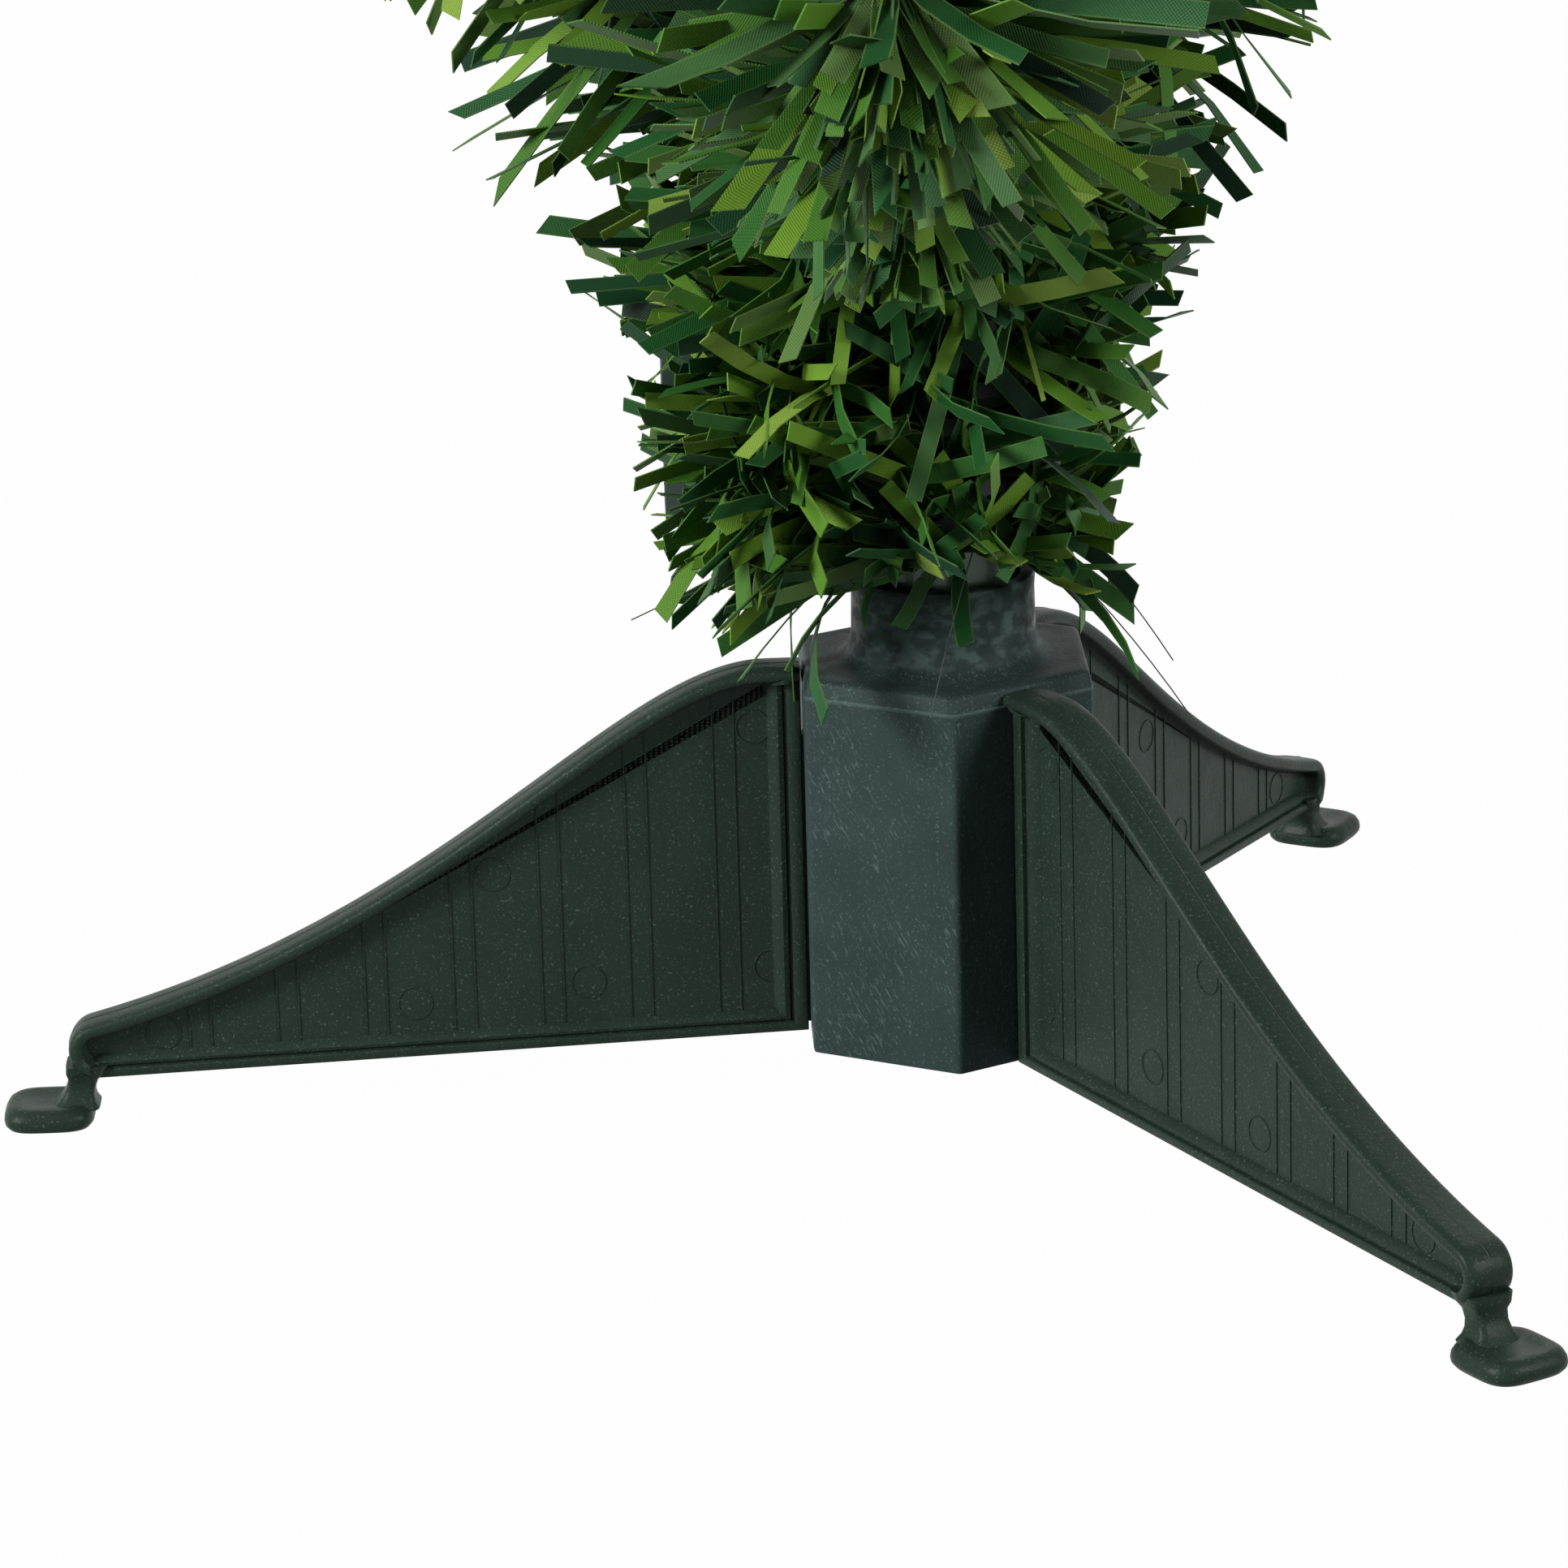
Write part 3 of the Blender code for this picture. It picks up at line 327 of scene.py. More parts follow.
class Shape:
    """Surfaces gathered into one mesh, each one turned to face outwards as it is added."""

    def __init__(self):
        self.points = []
        self.faces = []
        self.count = 0

    def add(self, points, faces, caps=()):
        """Add points, quads and any closing polygons. The sign of the enclosed volume, summed
        over the quads as corner one dot the cross product of the two diagonals, tells whether
        the surface is inside out."""
        points = np.asarray(points, float).reshape(-1, 3)
        a, b, c, d = (points[faces[:, k]] for k in range(4))
        middle = points.mean(0)
        volume = np.einsum("ij,ij->i", a - middle, np.cross(c - a, d - b)).sum()
        flip = volume < 0
        quads = faces[:, ::-1] if flip else faces
        self.faces.extend((quads + self.count).tolist())
        for cap in caps:
            ordered = list(cap)[::-1] if flip else list(cap)
            self.faces.append([self.count + int(k) for k in ordered])
        self.points.append(points)
        self.count += len(points)
        return self

    def moved(self, matrix):
        """The same shape with each point multiplied by a 4 by 4 matrix."""
        self.points = [put(points, np.array(matrix)) for points in self.points]
        return self

    def mesh(self, name, weld=0.0, smooth=SHARP_DEGREES):
        mesh = bpy.data.meshes.new(name)
        mesh.from_pydata(np.concatenate(self.points), [], self.faces)
        if weld:
            weld_mesh(mesh, weld)
        mesh.validate()
        return smoothed(mesh, smooth)


def weld_mesh(mesh, distance):
    bm = bmesh.new()
    bm.from_mesh(mesh)
    bmesh.ops.remove_doubles(bm, verts=bm.verts, dist=distance)
    bmesh.ops.dissolve_degenerate(bm, edges=bm.edges, dist=distance / 10)
    bm.to_mesh(mesh)
    bm.free()


def install(name, made, stock, body, slot, *replaced):
    """Put a finished mesh or shape in the scene on its body, in place of the named CAD nodes."""
    mesh = made.mesh(name) if isinstance(made, Shape) else made
    piece = new_object(name, mesh)
    mesh.materials.clear()
    mesh.materials.append(STOCK[stock])
    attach(piece, body)
    if replaced:
        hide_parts(*replaced)


def turned(profile, sides, loop=False):
    """A profile of (radius, height) rows turned about Z: each point is radius times the cosine
    and sine of the azimuth, at its height. A closed profile makes a ring-shaped solid."""
    profile = np.asarray(profile, float)
    angle = np.linspace(0, 2 * np.pi, sides, endpoint=False)
    points = around(angle, profile[:, :1], profile[:, 1:])
    caps = () if loop else end_caps(len(profile), sides)
    return points, grid_faces(len(profile), sides, loop, True), caps


def tube(path, radius, sides):
    """A round bar along a path: at each point a circle in the plane square to the path, its
    first direction the path's tangent crossed with a fixed one, carried along."""
    path = np.asarray(path, float)
    tangent = unit(np.gradient(path, axis=0))
    spread = np.abs(tangent).max(0)
    fixed = np.eye(3)[int(np.argmin(spread))]
    first = unit(np.cross(tangent, fixed))
    second = np.cross(tangent, first)
    angle = np.linspace(0, 2 * np.pi, sides, endpoint=False)[:, None]
    points = path[:, None] + radius * swung(angle, first[:, None], second[:, None])
    return points, grid_faces(len(path), sides, False, True), end_caps(len(path), sides)


# Finishes

def shade(red, green, blue):
    """A colour of a photograph's 0 to 255 numbers as the shader's own linear values."""
    values = np.array([red, green, blue], float) / 255.0
    linear = np.where(values <= 0.04045, values / 12.92, ((values + 0.055) / 1.055) ** 2.4)
    return (*[float(v) for v in linear], 1.0)


class Signal:
    """A socket's value: sums and products of signals and numbers add their Math nodes."""

    def __init__(self, finish, socket):
        self.finish = finish
        self.socket = socket

    def _math(self, operation, *values):
        return self.finish.node("ShaderNodeMath", {"operation": operation},
                                dict(enumerate(values)))

    def __add__(self, other):
        return self._math("ADD", self, other)

    def __sub__(self, other):
        return self._math("SUBTRACT", self, other)

    def __rsub__(self, other):
        return self._math("SUBTRACT", other, self)

    def __mul__(self, other):
        return self._math("MULTIPLY", self, other)

    def fraction(self):
        return self._math("FRACT", self)

    def size(self):
        return self._math("ABSOLUTE", self)

    def wave(self):
        return self._math("SINE", self)

    def most(self, other):
        return self._math("MAXIMUM", self, other)

    def past(self, low, high):
        """0 below the low value, 1 above the high one and a smooth step between."""
        return self.finish.node("ShaderNodeMapRange", {"interpolation_type": "SMOOTHSTEP"},
                                {"Value": self, "From Min": low, "From Max": high})


class Finish:
    """One material: a Principled shader, and short ways to add the nodes that feed it."""

    def __init__(self, name, colour, roughness, **fixed):
        self.material = bpy.data.materials.new(name)
        self.material.use_nodes = True
        self.tree = self.material.node_tree
        self.shader = self.tree.nodes["Principled BSDF"]
        self.shader.inputs["Base Color"].default_value = colour
        self.shader.inputs["Roughness"].default_value = roughness
        for socket, value in fixed.items():
            self.shader.inputs[socket.replace("_", " ")].default_value = value

    def node(self, kind, settings=None, inputs=None, output=0):
        node = self.tree.nodes.new(kind)
        for key, value in (settings or {}).items():
            setattr(node, key, value)
        for key, value in (inputs or {}).items():
            if isinstance(value, Signal):
                self.tree.links.new(value.socket, node.inputs[key])
            else:
                node.inputs[key].default_value = value
        return Signal(self, node.outputs[output])

    def feed(self, socket, signal):
        self.tree.links.new(signal.socket, self.shader.inputs[socket])

    def place(self, scale=(1, 1, 1), turn=(0, 0, 0)):
        """Object coordinates, turned and then scaled, in cycles a metre."""
        here = self.node("ShaderNodeTexCoord", output=3)
        turned_here = self.node("ShaderNodeMapping", {"vector_type": "POINT"},
                                {"Vector": here, "Rotation": turn})
        return self.node("ShaderNodeMapping", {"vector_type": "POINT"},
                         {"Vector": turned_here, "Scale": scale})

    def noise(self, scale, detail, turn=(0, 0, 0)):
        """Noise of this many cycles a metre, one number or one for each way."""
        scale = scale if isinstance(scale, tuple) else (scale,) * 3
        return self.node("ShaderNodeTexNoise", None, {"Vector": self.place(scale, turn),
                                                      "Scale": 1.0, "Detail": detail})

    def mix(self, factor, one, two):
        """A colour between two: colours or signals that carry colours."""
        return self.node("ShaderNodeMix", {"data_type": "RGBA"}, {0: factor, 6: one, 7: two}, 2)

    def bump(self, height, distance, strength):
        self.feed("Normal", self.node("ShaderNodeBump", None,
                                      {"Height": height, "Distance": distance,
                                       "Strength": strength}))


STROKE_WAY = (0.433, -0.25, -0.866)


def moulded_finish(name, colour, pale, roughness, shine, wipe_share, speck_share, neck=False):
    """Dark moulded plastic: a slow mottle, a fine grain with pale specks, and wipe marks.

    Wipe marks are a noise drawn out along the stroke's way, where a slow noise lets them show.
    The hub's top plate and the neck are darker, a painted shade that is strongest on the plate.
    The neck has a blotchy sheen, painted into its colour as pale blotches where it is also less
    rough, and the flash line under the plate is pale."""
    finish = Finish(name, colour, roughness, Specular_IOR_Level=shine)
    mottle = finish.noise(110, 3.0).past(0.3, 0.7)
    dark = tuple(0.78 * c for c in colour[:3]) + (1.0,)
    base = finish.mix(mottle * 0.7, colour, dark)
    speck = finish.noise(3000, 1.0).past(0.60, 0.78)
    turn = Vector(STROKE_WAY).rotation_difference(Vector((0, 0, 1))).to_euler()
    wipe = finish.noise((3600, 3600, 620), 3.0, turn).past(0.56, 0.74)
    patch = finish.noise((95, 95, 60), 3.0).past(0.38, 0.62)
    marks = (wipe * patch * wipe_share + speck * speck_share).most(0.0)
    grain = finish.noise(1500, 3.0)
    rough = finish.noise(320, 3.0) * 0.22 + (roughness - 0.11) + marks * 0.15
    if neck:
        where = finish.node("ShaderNodeSeparateXYZ", None, {"Vector": finish.place()}, 2)
        plate = where.past(HUB_TOP - 2 * HUB_EDGE, HUB_TOP)
        collar = where.past(HUB_TOP + HUB_EDGE, HUB_TOP + 4 * HUB_EDGE)
        # Painted sheen: pale blotches mixed into the neck's colour; the same blotches also lower its
        # roughness.
        painted_sheen_blotch = finish.noise((420, 420, 650), 4.0).past(0.42, 0.62)
        flash = 1.0 - (where - (HUB_TOP - HUB_BAND)).size().past(HUB_FLASH, 3 * HUB_FLASH)
        # From here the marks also carry the neck's painted sheen and the pale flash line.
        marks = marks * (1.0 - collar) + collar * painted_sheen_blotch * 0.34 + flash * 0.30
        # Painted shade: the colour goes towards near black on the top plate and the foot of the
        # neck, and hardly at all higher up the neck.
        base = finish.mix(plate * 0.38 - collar * 0.36, base, (0.010, 0.018, 0.018, 1.0))
        rough = rough - collar * painted_sheen_blotch * 0.14
    finish.feed("Base Color", finish.mix(marks, base, pale))
    finish.feed("Roughness", rough)
    finish.bump(grain, GRAIN_DEPTH, 0.55)
    return finish.material


NEEDLE_SHADES = ((20, 52, 31), (26, 66, 37), (32, 80, 38), (46, 94, 37), (64, 108, 36),
                 (84, 126, 39), (106, 144, 47), (130, 160, 66), (58, 94, 51), (14, 40, 23),
                 (88, 118, 61), (40, 86, 43))
NEEDLE_COLUMNS = len(NEEDLE_SHADES)


def needle_finish():
    """Cut film in several greens. Each column of the map is one shade: across it the cut edges
    are paler, along it the root is darkened as painted shade, and a fine emboss covers the face."""
    finish = Finish("needle_film", shade(44, 88, 48), 0.46, Specular_IOR_Level=0.15)
    here = finish.node("ShaderNodeUVMap", {"uv_map": "OFBake"})
    split = finish.node("ShaderNodeSeparateXYZ", None, {"Vector": here})
    along = Signal(finish, split.socket.node.outputs[1])
    column = split * float(NEEDLE_COLUMNS)
    ramp = finish.tree.nodes.new("ShaderNodeValToRGB")
    ramp.color_ramp.interpolation = "CONSTANT"
    for number, colour in enumerate(NEEDLE_SHADES):
        place = number / NEEDLE_COLUMNS
        stops = ramp.color_ramp.elements
        stop = stops[number] if number < 2 else stops.new(place)
        stop.position = place
        stop.color = shade(*colour)
    finish.tree.links.new(split.socket, ramp.inputs[0])
    across = (column.fraction() - 0.5).size()
    edge = across.past(0.38, 0.46)
    # Painted shade: towards the root each needle is mixed up to 0.7 of the way to near black, over
    # the first half of the map's length.
    root = 1.0 - along.past(0.0, 0.5)
    tone = finish.mix(root * 0.7, Signal(finish, ramp.outputs[0]), (0.003, 0.010, 0.003, 1.0))
    finish.feed("Base Color", finish.mix(edge * 0.30, tone, shade(116, 150, 84)))
    emboss = (column * 46.0).wave() * (along * 720.0).wave()
    finish.bump(emboss, EMBOSS_DEPTH, 0.8)
    finish.feed("Roughness", edge * 0.1 + 0.44)
    return finish.material


def plain_finish(name, colour, roughness, **fixed):
    """A smooth surface with a slow change of tone and a faint grain."""
    finish = Finish(name, colour, roughness, **fixed)
    tone = finish.noise(FAINT_GRAIN / 4, 2.0)
    dark = tuple(0.75 * c for c in colour[:3]) + (1.0,)
    finish.feed("Base Color", finish.mix(tone, colour, dark))
    finish.feed("Roughness", tone * 0.16 + (roughness - 0.08))
    finish.bump(finish.noise(FAINT_GRAIN, 2.0), FAINT_DEPTH, 0.5)
    return finish.material


# Name, colour, roughness and other inputs of each plain finish
PLAIN_STOCK = {
    "pole": ("green_paint", (36, 74, 50), 0.36, {"Coat_Weight": 0.2}),
    "wire": ("green_wire", (34, 66, 44), 0.45, {}),
    "lead": ("lead_sleeve", (22, 50, 36), 0.42, {}),
    "box": ("box_plastic", (28, 52, 40), 0.42, {}),
    "switch": ("slider_plastic", (24, 24, 25), 0.4, {}),
    "cell": ("cell_jacket", (150, 152, 156), 0.34, {"Metallic": 0.6}),
    "steel": ("cell_steel", (186, 186, 184), 0.3, {"Metallic": 0.9}),
    # The tape's near-black green is partly painted shade: wound closely round the tube, it shows as
    # the dark gaps between the trunk's needles.
    "tape": ("needle_tape", (13, 32, 20), 0.6, {}),
}


def make_stock():
    STOCK["hub"] = moulded_finish("hub_plastic", shade(53, 68, 65), shade(112, 134, 130),
                                  0.46, 0.05, 0.52, 0.38, neck=True)
    STOCK["leg"] = moulded_finish("leg_plastic", shade(35, 49, 42), shade(98, 116, 108),
                                  0.40, 0.10, 0.10, 0.42)
    STOCK["needles"] = needle_finish()
    for stock, (name, colour, roughness, fixed) in PLAIN_STOCK.items():
        STOCK[stock] = plain_finish(name, shade(*colour), roughness, **fixed)
    bulb = Finish("bulb_lens", shade(250, 236, 200), 0.18)
    glow = bulb.noise(700, 1.0)
    bulb.feed("Emission Color", bulb.mix(glow, (1.0, 0.72, 0.38, 1.0), (1.0, 0.86, 0.6, 1.0)))
    bulb.shader.inputs["Emission Strength"].default_value = 0.55
    bulb.shader.inputs["Coat Weight"].default_value = 0.6
    STOCK["bulb"] = bulb.material


# Stand

def hexagon_radius(azimuth, apothem, corner):
    """Distance from the axis to a hexagon with round corners, along each azimuth.

    Off a face's own azimuth the flat lies at apothem over the cosine of the turn. Near a corner
    it is the far point of a circle centred on the corner's azimuth at (apothem - corner) over
    the cosine of 30 degrees: c cos d plus the root of corner squared less (c sin d) squared."""
    turn = np.abs((azimuth + np.pi / 6) % (np.pi / 3) - np.pi / 6)
    centre = (apothem - corner) / math.cos(math.pi / 6)
    off = np.pi / 6 - turn
    arc = centre * np.cos(off) + np.sqrt(np.maximum(corner**2 - (centre * np.sin(off))**2, 0))
    flat_end = np.arctan((apothem - corner) * math.tan(math.pi / 6) / apothem)
    return np.where(turn > flat_end, arc, apothem / np.cos(turn))


def hub_profile():
    """Rows of (share of the hexagon, distance, height) up the outside, in and down again.

    The top band leans inwards above a thin flash line, and the neck rises out of the top on an
    elliptic fillet: its radius grows by one less the sine of the turn, its height by one less
    the cosine."""
    rows = [(1, HUB_FLAT - HUB_EDGE, HUB_FOOT), (1, HUB_FLAT - HUB_EDGE / 4, HUB_FOOT),
            (1, HUB_FLAT, HUB_FOOT + HUB_EDGE)]
    for lean, proud, drop in ((0, 0, 1.05), (0, 1, 1.02), (0, 1, 0.98), (0, 0, 0.95),
                              (0.6, 0, 0.30), (0.9, 0, 0.14), (1.4, 0, 0.05), (2.2, 0, 0.01),
                              (3.4, 0, 0.0), (6.0, 0, 0.02)):
        rows.append((1, HUB_FLAT - lean * HUB_BAND_LEAN + proud * HUB_FLASH,
                     HUB_TOP - drop * HUB_BAND))
    for turn in np.radians((0, 15, 30, 45, 60, 75, 90)):
        rows.append((0, NECK_RADIUS + NECK_FILLET * (1 - math.sin(turn)),
                     HUB_TOP + 1.6 * NECK_FILLET * (1 - math.cos(turn))))
    rim = NECK_RADIUS - BORE_RADIUS
    rows += [(0, NECK_RADIUS - rim / 20, NECK_TOP - rim), (0, NECK_RADIUS, NECK_TOP - rim / 3),
             (0, NECK_RADIUS - rim / 12, NECK_TOP - rim / 10), (0, NECK_RADIUS - rim / 4, NECK_TOP),
             (0, BORE_RADIUS + rim / 5, NECK_TOP), (0, BORE_RADIUS, NECK_TOP - rim / 4),
             (0, BORE_RADIUS, SEAT_TOP), (0, SEAT_HOLE, SEAT_TOP), (0, SEAT_HOLE, SEAT_FOOT),
             (0, NECK_RADIUS, SEAT_FOOT), (0, NECK_RADIUS, HUB_TOP - HUB_PLATE),
             (1, HUB_FLAT - HUB_WALL, HUB_TOP - HUB_PLATE),
             (1, HUB_FLAT - HUB_WALL, HUB_FOOT + HUB_EDGE),
             (1, HUB_FLAT - HUB_WALL + HUB_EDGE, HUB_FOOT)]
    return np.array(rows)


def cut(mesh, low, high, matrix):
    """The mesh with a box taken out of it, the box given by two corners and then moved."""
    tool_mesh = bpy.data.meshes.new("cutter")
    box = [[x, y, z] for x in (low[0], high[0]) for y in (low[1], high[1])
           for z in (low[2], high[2])]
    tool_mesh.from_pydata(put(box, np.array(matrix)), [],
                          [(0, 1, 3, 2), (4, 6, 7, 5), (0, 4, 5, 1), (2, 3, 7, 6),
                           (0, 2, 6, 4), (1, 5, 7, 3)])
    tool = new_object("cutter", tool_mesh)
    item = new_object("cut", mesh)
    modifier = item.modifiers.new("cut", "BOOLEAN")
    modifier.object = tool
    modifier.solver = "EXACT"
    result = applied(item, SHARP_DEGREES)
    bpy.data.objects.remove(tool)
    return result


def make_hub():
    """Outline times profile: at each azimuth and row, the distance is the hexagon's (with the
    row's distance as its apothem) or the circle's, mixed by the row's share."""
    local = np.radians([-30, -29, -28, -27, -26, -22, -17, -11, -5.5, 0, 5.5, 11, 17, 22, 26,
                        27, 28, 29])
    azimuth = (local + np.radians(60 * np.arange(6))[:, None]).ravel()
    rows = hub_profile()
    share, distance, height = (rows[:, k:k + 1] for k in range(3))
    reach = share * hexagon_radius(azimuth, distance, HUB_CORNER) + (1 - share) * distance
    shape = Shape().add(around(azimuth, reach, height),
                        grid_faces(len(rows), len(azimuth), True, True))
    mesh = shape.mesh("hub")
    for turn in LEG_AZIMUTHS.values():
        low = (HUB_FLAT - HUB_WALL - CUT_MARGIN, -SLOT_HALF_WIDTH, HUB_FOOT - CUT_MARGIN)
        high = (HUB_FLAT + CUT_MARGIN, SLOT_HALF_WIDTH, SLOT_TOP)
        mesh = cut(mesh, low, high, Matrix.Rotation(math.radians(turn), 4, "Z"))
    install("hub_shell", mesh, "hub", "stand", "stand_plastic", "stand_hub")


def underside(reach):
    """Height of the leg's straight lower edge at this reach."""
    end = TIP_REACH - TOE_ROUND
    return HUB_FOOT + (TIP_HEIGHT - HUB_FOOT) * (reach - LEG_ROOT) / (end - LEG_ROOT)


def s_curve(steps):
    """The leg's top from shoulder to toe: one cubic Bezier curve, and its tangents."""
    toe = np.array([TIP_REACH - TOE_ROUND, TIP_HEIGHT + TOE_ROUND])
    end = toe + TOE_ROUND * np.array([math.cos(math.radians(75)), math.sin(math.radians(75))])
    start = np.array([SHOULDER_REACH, LEG_TOP])
    knots = [start, start + (SHOULDER_HANDLE, 0), end + (-TOE_HANDLE, TOE_HANDLE_RISE), end]
    t = np.linspace(0, 1, steps)[:, None]
    s = 1 - t
    curve = (s**3 * knots[0] + 3 * s * s * t * knots[1] + 3 * s * t * t * knots[2]
             + t**3 * knots[3])
    return curve, unit(np.gradient(curve, axis=0)), toe


def leg_loops():
    """The leg's outline seen from the side; point for point the inner edge of its rim; and how
    far each point belongs to the wide top flange.

    Along the top the inner edge lies square to the curve, along the hub and the underside it is
    parallel to them, and round the toe it shrinks towards the toe's centre."""
    curve, tangent, toe = s_curve(64)
    lip = LEG_TOP - TOP_RIM
    heights = np.append(np.linspace(HUB_FOOT, lip, 14), np.linspace(lip, LEG_TOP, 5)[1:-1])
    hub_edge = rows_of(LEG_ROOT, heights)
    flat = rows_of(np.linspace(LEG_ROOT, SHOULDER_REACH, 5)[:-1], LEG_TOP)
    turn = np.radians(np.linspace(75, -62, 18))[1:]
    toe_way = around(turn)[:, :2]
    arc = toe + TOE_ROUND * toe_way
    reach = np.linspace(toe[0], LEG_ROOT, 40)[:-1]
    foot = rows_of(reach, underside(reach))
    outer = np.concatenate([hub_edge, flat, curve, arc, foot])
    inner_hub = rows_of(LEG_ROOT + HUB_RIM, heights)
    inner_flat = flat - (0, TOP_RIM)
    inner_curve = curve + TOP_RIM * rows_of(tangent[:, 1], -tangent[:, 0])
    inner_arc = toe + (TOE_ROUND - TOP_RIM) * toe_way
    inner_foot = rows_of(reach, underside(reach) + FOOT_RIM)
    inner = np.concatenate([inner_hub, inner_flat, inner_curve, inner_arc, inner_foot])
    wide = np.concatenate([heights > lip, np.ones(len(flat) + len(curve) + len(arc)),
                           np.zeros(len(foot))]).astype(float)
    in_web = wide < 0.5
    inner[:, 0] = np.where(in_web, np.maximum(inner[:, 0], LEG_ROOT + HUB_RIM), inner[:, 0])
    inner[:, 1] = np.maximum(inner[:, 1], underside(inner[:, 0]) + FOOT_RIM * in_web)
    top = np.interp(inner[:, 0], curve[:, 0], curve[:, 1]) - TOP_RIM
    inner[:, 1] = np.where(in_web, np.minimum(inner[:, 1], np.maximum(top, outer[:, 1])),
                           inner[:, 1])
    inner[:, 1] = np.minimum(inner[:, 1], lip)
    return outer, inner, wide


WIDE_RIM_SHARES = ((0.0, 0.0), (0.0, 0.012), (0.03, 0.03), (0.03, 0.30), (0.045, 0.60),
                   (0.09, 0.80), (0.17, 0.92), (0.30, 0.985), (0.45, 1.0), (0.62, 0.985),
                   (0.74, 0.93), (0.82, 0.84), (0.86, 0.70), (0.88, 0.50), (0.93, 0.32),
                   (1.0, 0.224))
NARROW_RIM_SHARES = ((0.0, 0.0), (0.0, 0.012), (0.0, 0.03), (0.0, 0.30), (0.0, 0.45),
                     (0.01, 0.53), (0.03, 0.585), (0.08, 0.61), (0.34, 0.61), (0.40, 0.57),
                     (0.43, 0.40), (0.48, 0.40), (0.54, 0.50), (0.68, 0.545), (0.84, 0.46),
                     (1.0, 0.224))


def add_rim(shape):
    """Section carried along the outline: each point goes this share of the way from the outer
    to the inner loop, at this share of the half width, on both sides. The top flange is wide
    with a parting line; the hub's and foot's rims are two narrow ribs. The web closes it."""
    outer, inner, wide = leg_loops()
    wide_rim, narrow_rim = (np.array([(a, -b) for a, b in table[:0:-1]] + list(table))
                            for table in (WIDE_RIM_SHARES, NARROW_RIM_SHARES))
    section = (wide_rim[:, None] * wide[:, None] + narrow_rim[:, None] * (1 - wide[:, None]))
    depth = outer + section[..., :1] * (inner - outer)
    points = rows_of(depth[..., 0], section[..., 1] * LEG_HALF_WIDTH, depth[..., 1])
    rows, columns = len(section), len(outer)
    shape.add(points, grid_faces(rows, columns, False, True), end_caps(rows, columns))


def add_web_marks(shape):
    """Fine raised lines up the web, in pairs, and the rings that ejector pins leave."""
    curve = s_curve(200)[0]
    across = LINE_HALF * np.array([-1, -0.5, 0.5, 1])
    turn = np.linspace(0, 2 * np.pi, 32, endpoint=False)
    path = around(turn, MARK_RADIUS)
    ring = np.linspace(0, 2 * np.pi, 6, endpoint=False)[:, None]
    swell = 1 + MARK_HALF * np.cos(ring) / MARK_RADIUS
    for side in (-1, 1):
        level = side * (WEB_HALF + MARK_PROUD * np.array([-1, 1, 1, -1]))
        for start in LINE_START + LINE_PITCH * np.arange(LINE_PAIRS):
            for reach in (start, start + LINE_GAP):
                low = underside(reach) + FOOT_RIM
                high = np.interp(reach, curve[:, 0], curve[:, 1]) - TOP_RIM
                heights = np.linspace(low, high, 4)[:, None]
                shape.add(rows_of(reach + across, level, heights),
                          grid_faces(4, 4, False, True), end_caps(4, 4))
        level = side * WEB_HALF + MARK_PROUD * np.sin(ring)
        for reach, height in MARK_PLACES:
            points = rows_of(reach + path[:, 0] * swell, level, height + path[:, 1] * swell)
            shape.add(points, grid_faces(6, 32, True, True))


def stacked(levels, power, steps):
    """Superellipses one above another, each (centre reach, half x, half y, height). Their x and
    y are the cosine and sine of the turn raised to 2 over the power."""
    turn = np.linspace(0, 2 * np.pi, steps, endpoint=False)
    c, s = (np.sign(v) * np.abs(v) ** (2 / power) for v in (np.cos(turn), np.sin(turn)))
    centre, half_x, half_y, height = np.array(levels).T[..., None]
    return (rows_of(half_x * c + centre, half_y * s, height),
            grid_faces(len(levels), steps, False, True), end_caps(len(levels), steps))


# Inset and height up the pad's side, then growth and height up the peg
PAD_EDGE = ((0.0012, 0.0), (0.0005, 0.00012), (0.0001, 0.0006), (0.0, 0.0011),
            (0.0001, 0.0018), (0.0005, 0.0025), (0.0011, 0.0029), (0.0019, 0.0030),
            (0.0026, 0.0028), (0.0045, 0.0026))
PEG_FLARE = ((0.0013, 0.0022), (0.0006, 0.0030), (0.0002, 0.0038), (0.0, 0.0048),
             (0.0001, 0.0060), (0.0006, 0.0068), (0.0009, 0.0080))


def add_foot(shape):
    """The flat pad with its rounded side, and the peg that flares into it."""
    pad = [(PAD_REACH, PAD_HALF - inset, PAD_HALF - inset, rise) for inset, rise in PAD_EDGE]
    shape.add(*stacked(pad, 3.6, 56))
    peg = [(PEG_REACH + PEG_LEAN * (PEG_NECK - height), PEG_HALF[0] + grow, PEG_HALF[1] + grow,
            height) for grow, height in PEG_FLARE]
    shape.add(*stacked(peg, 5.0, 32))


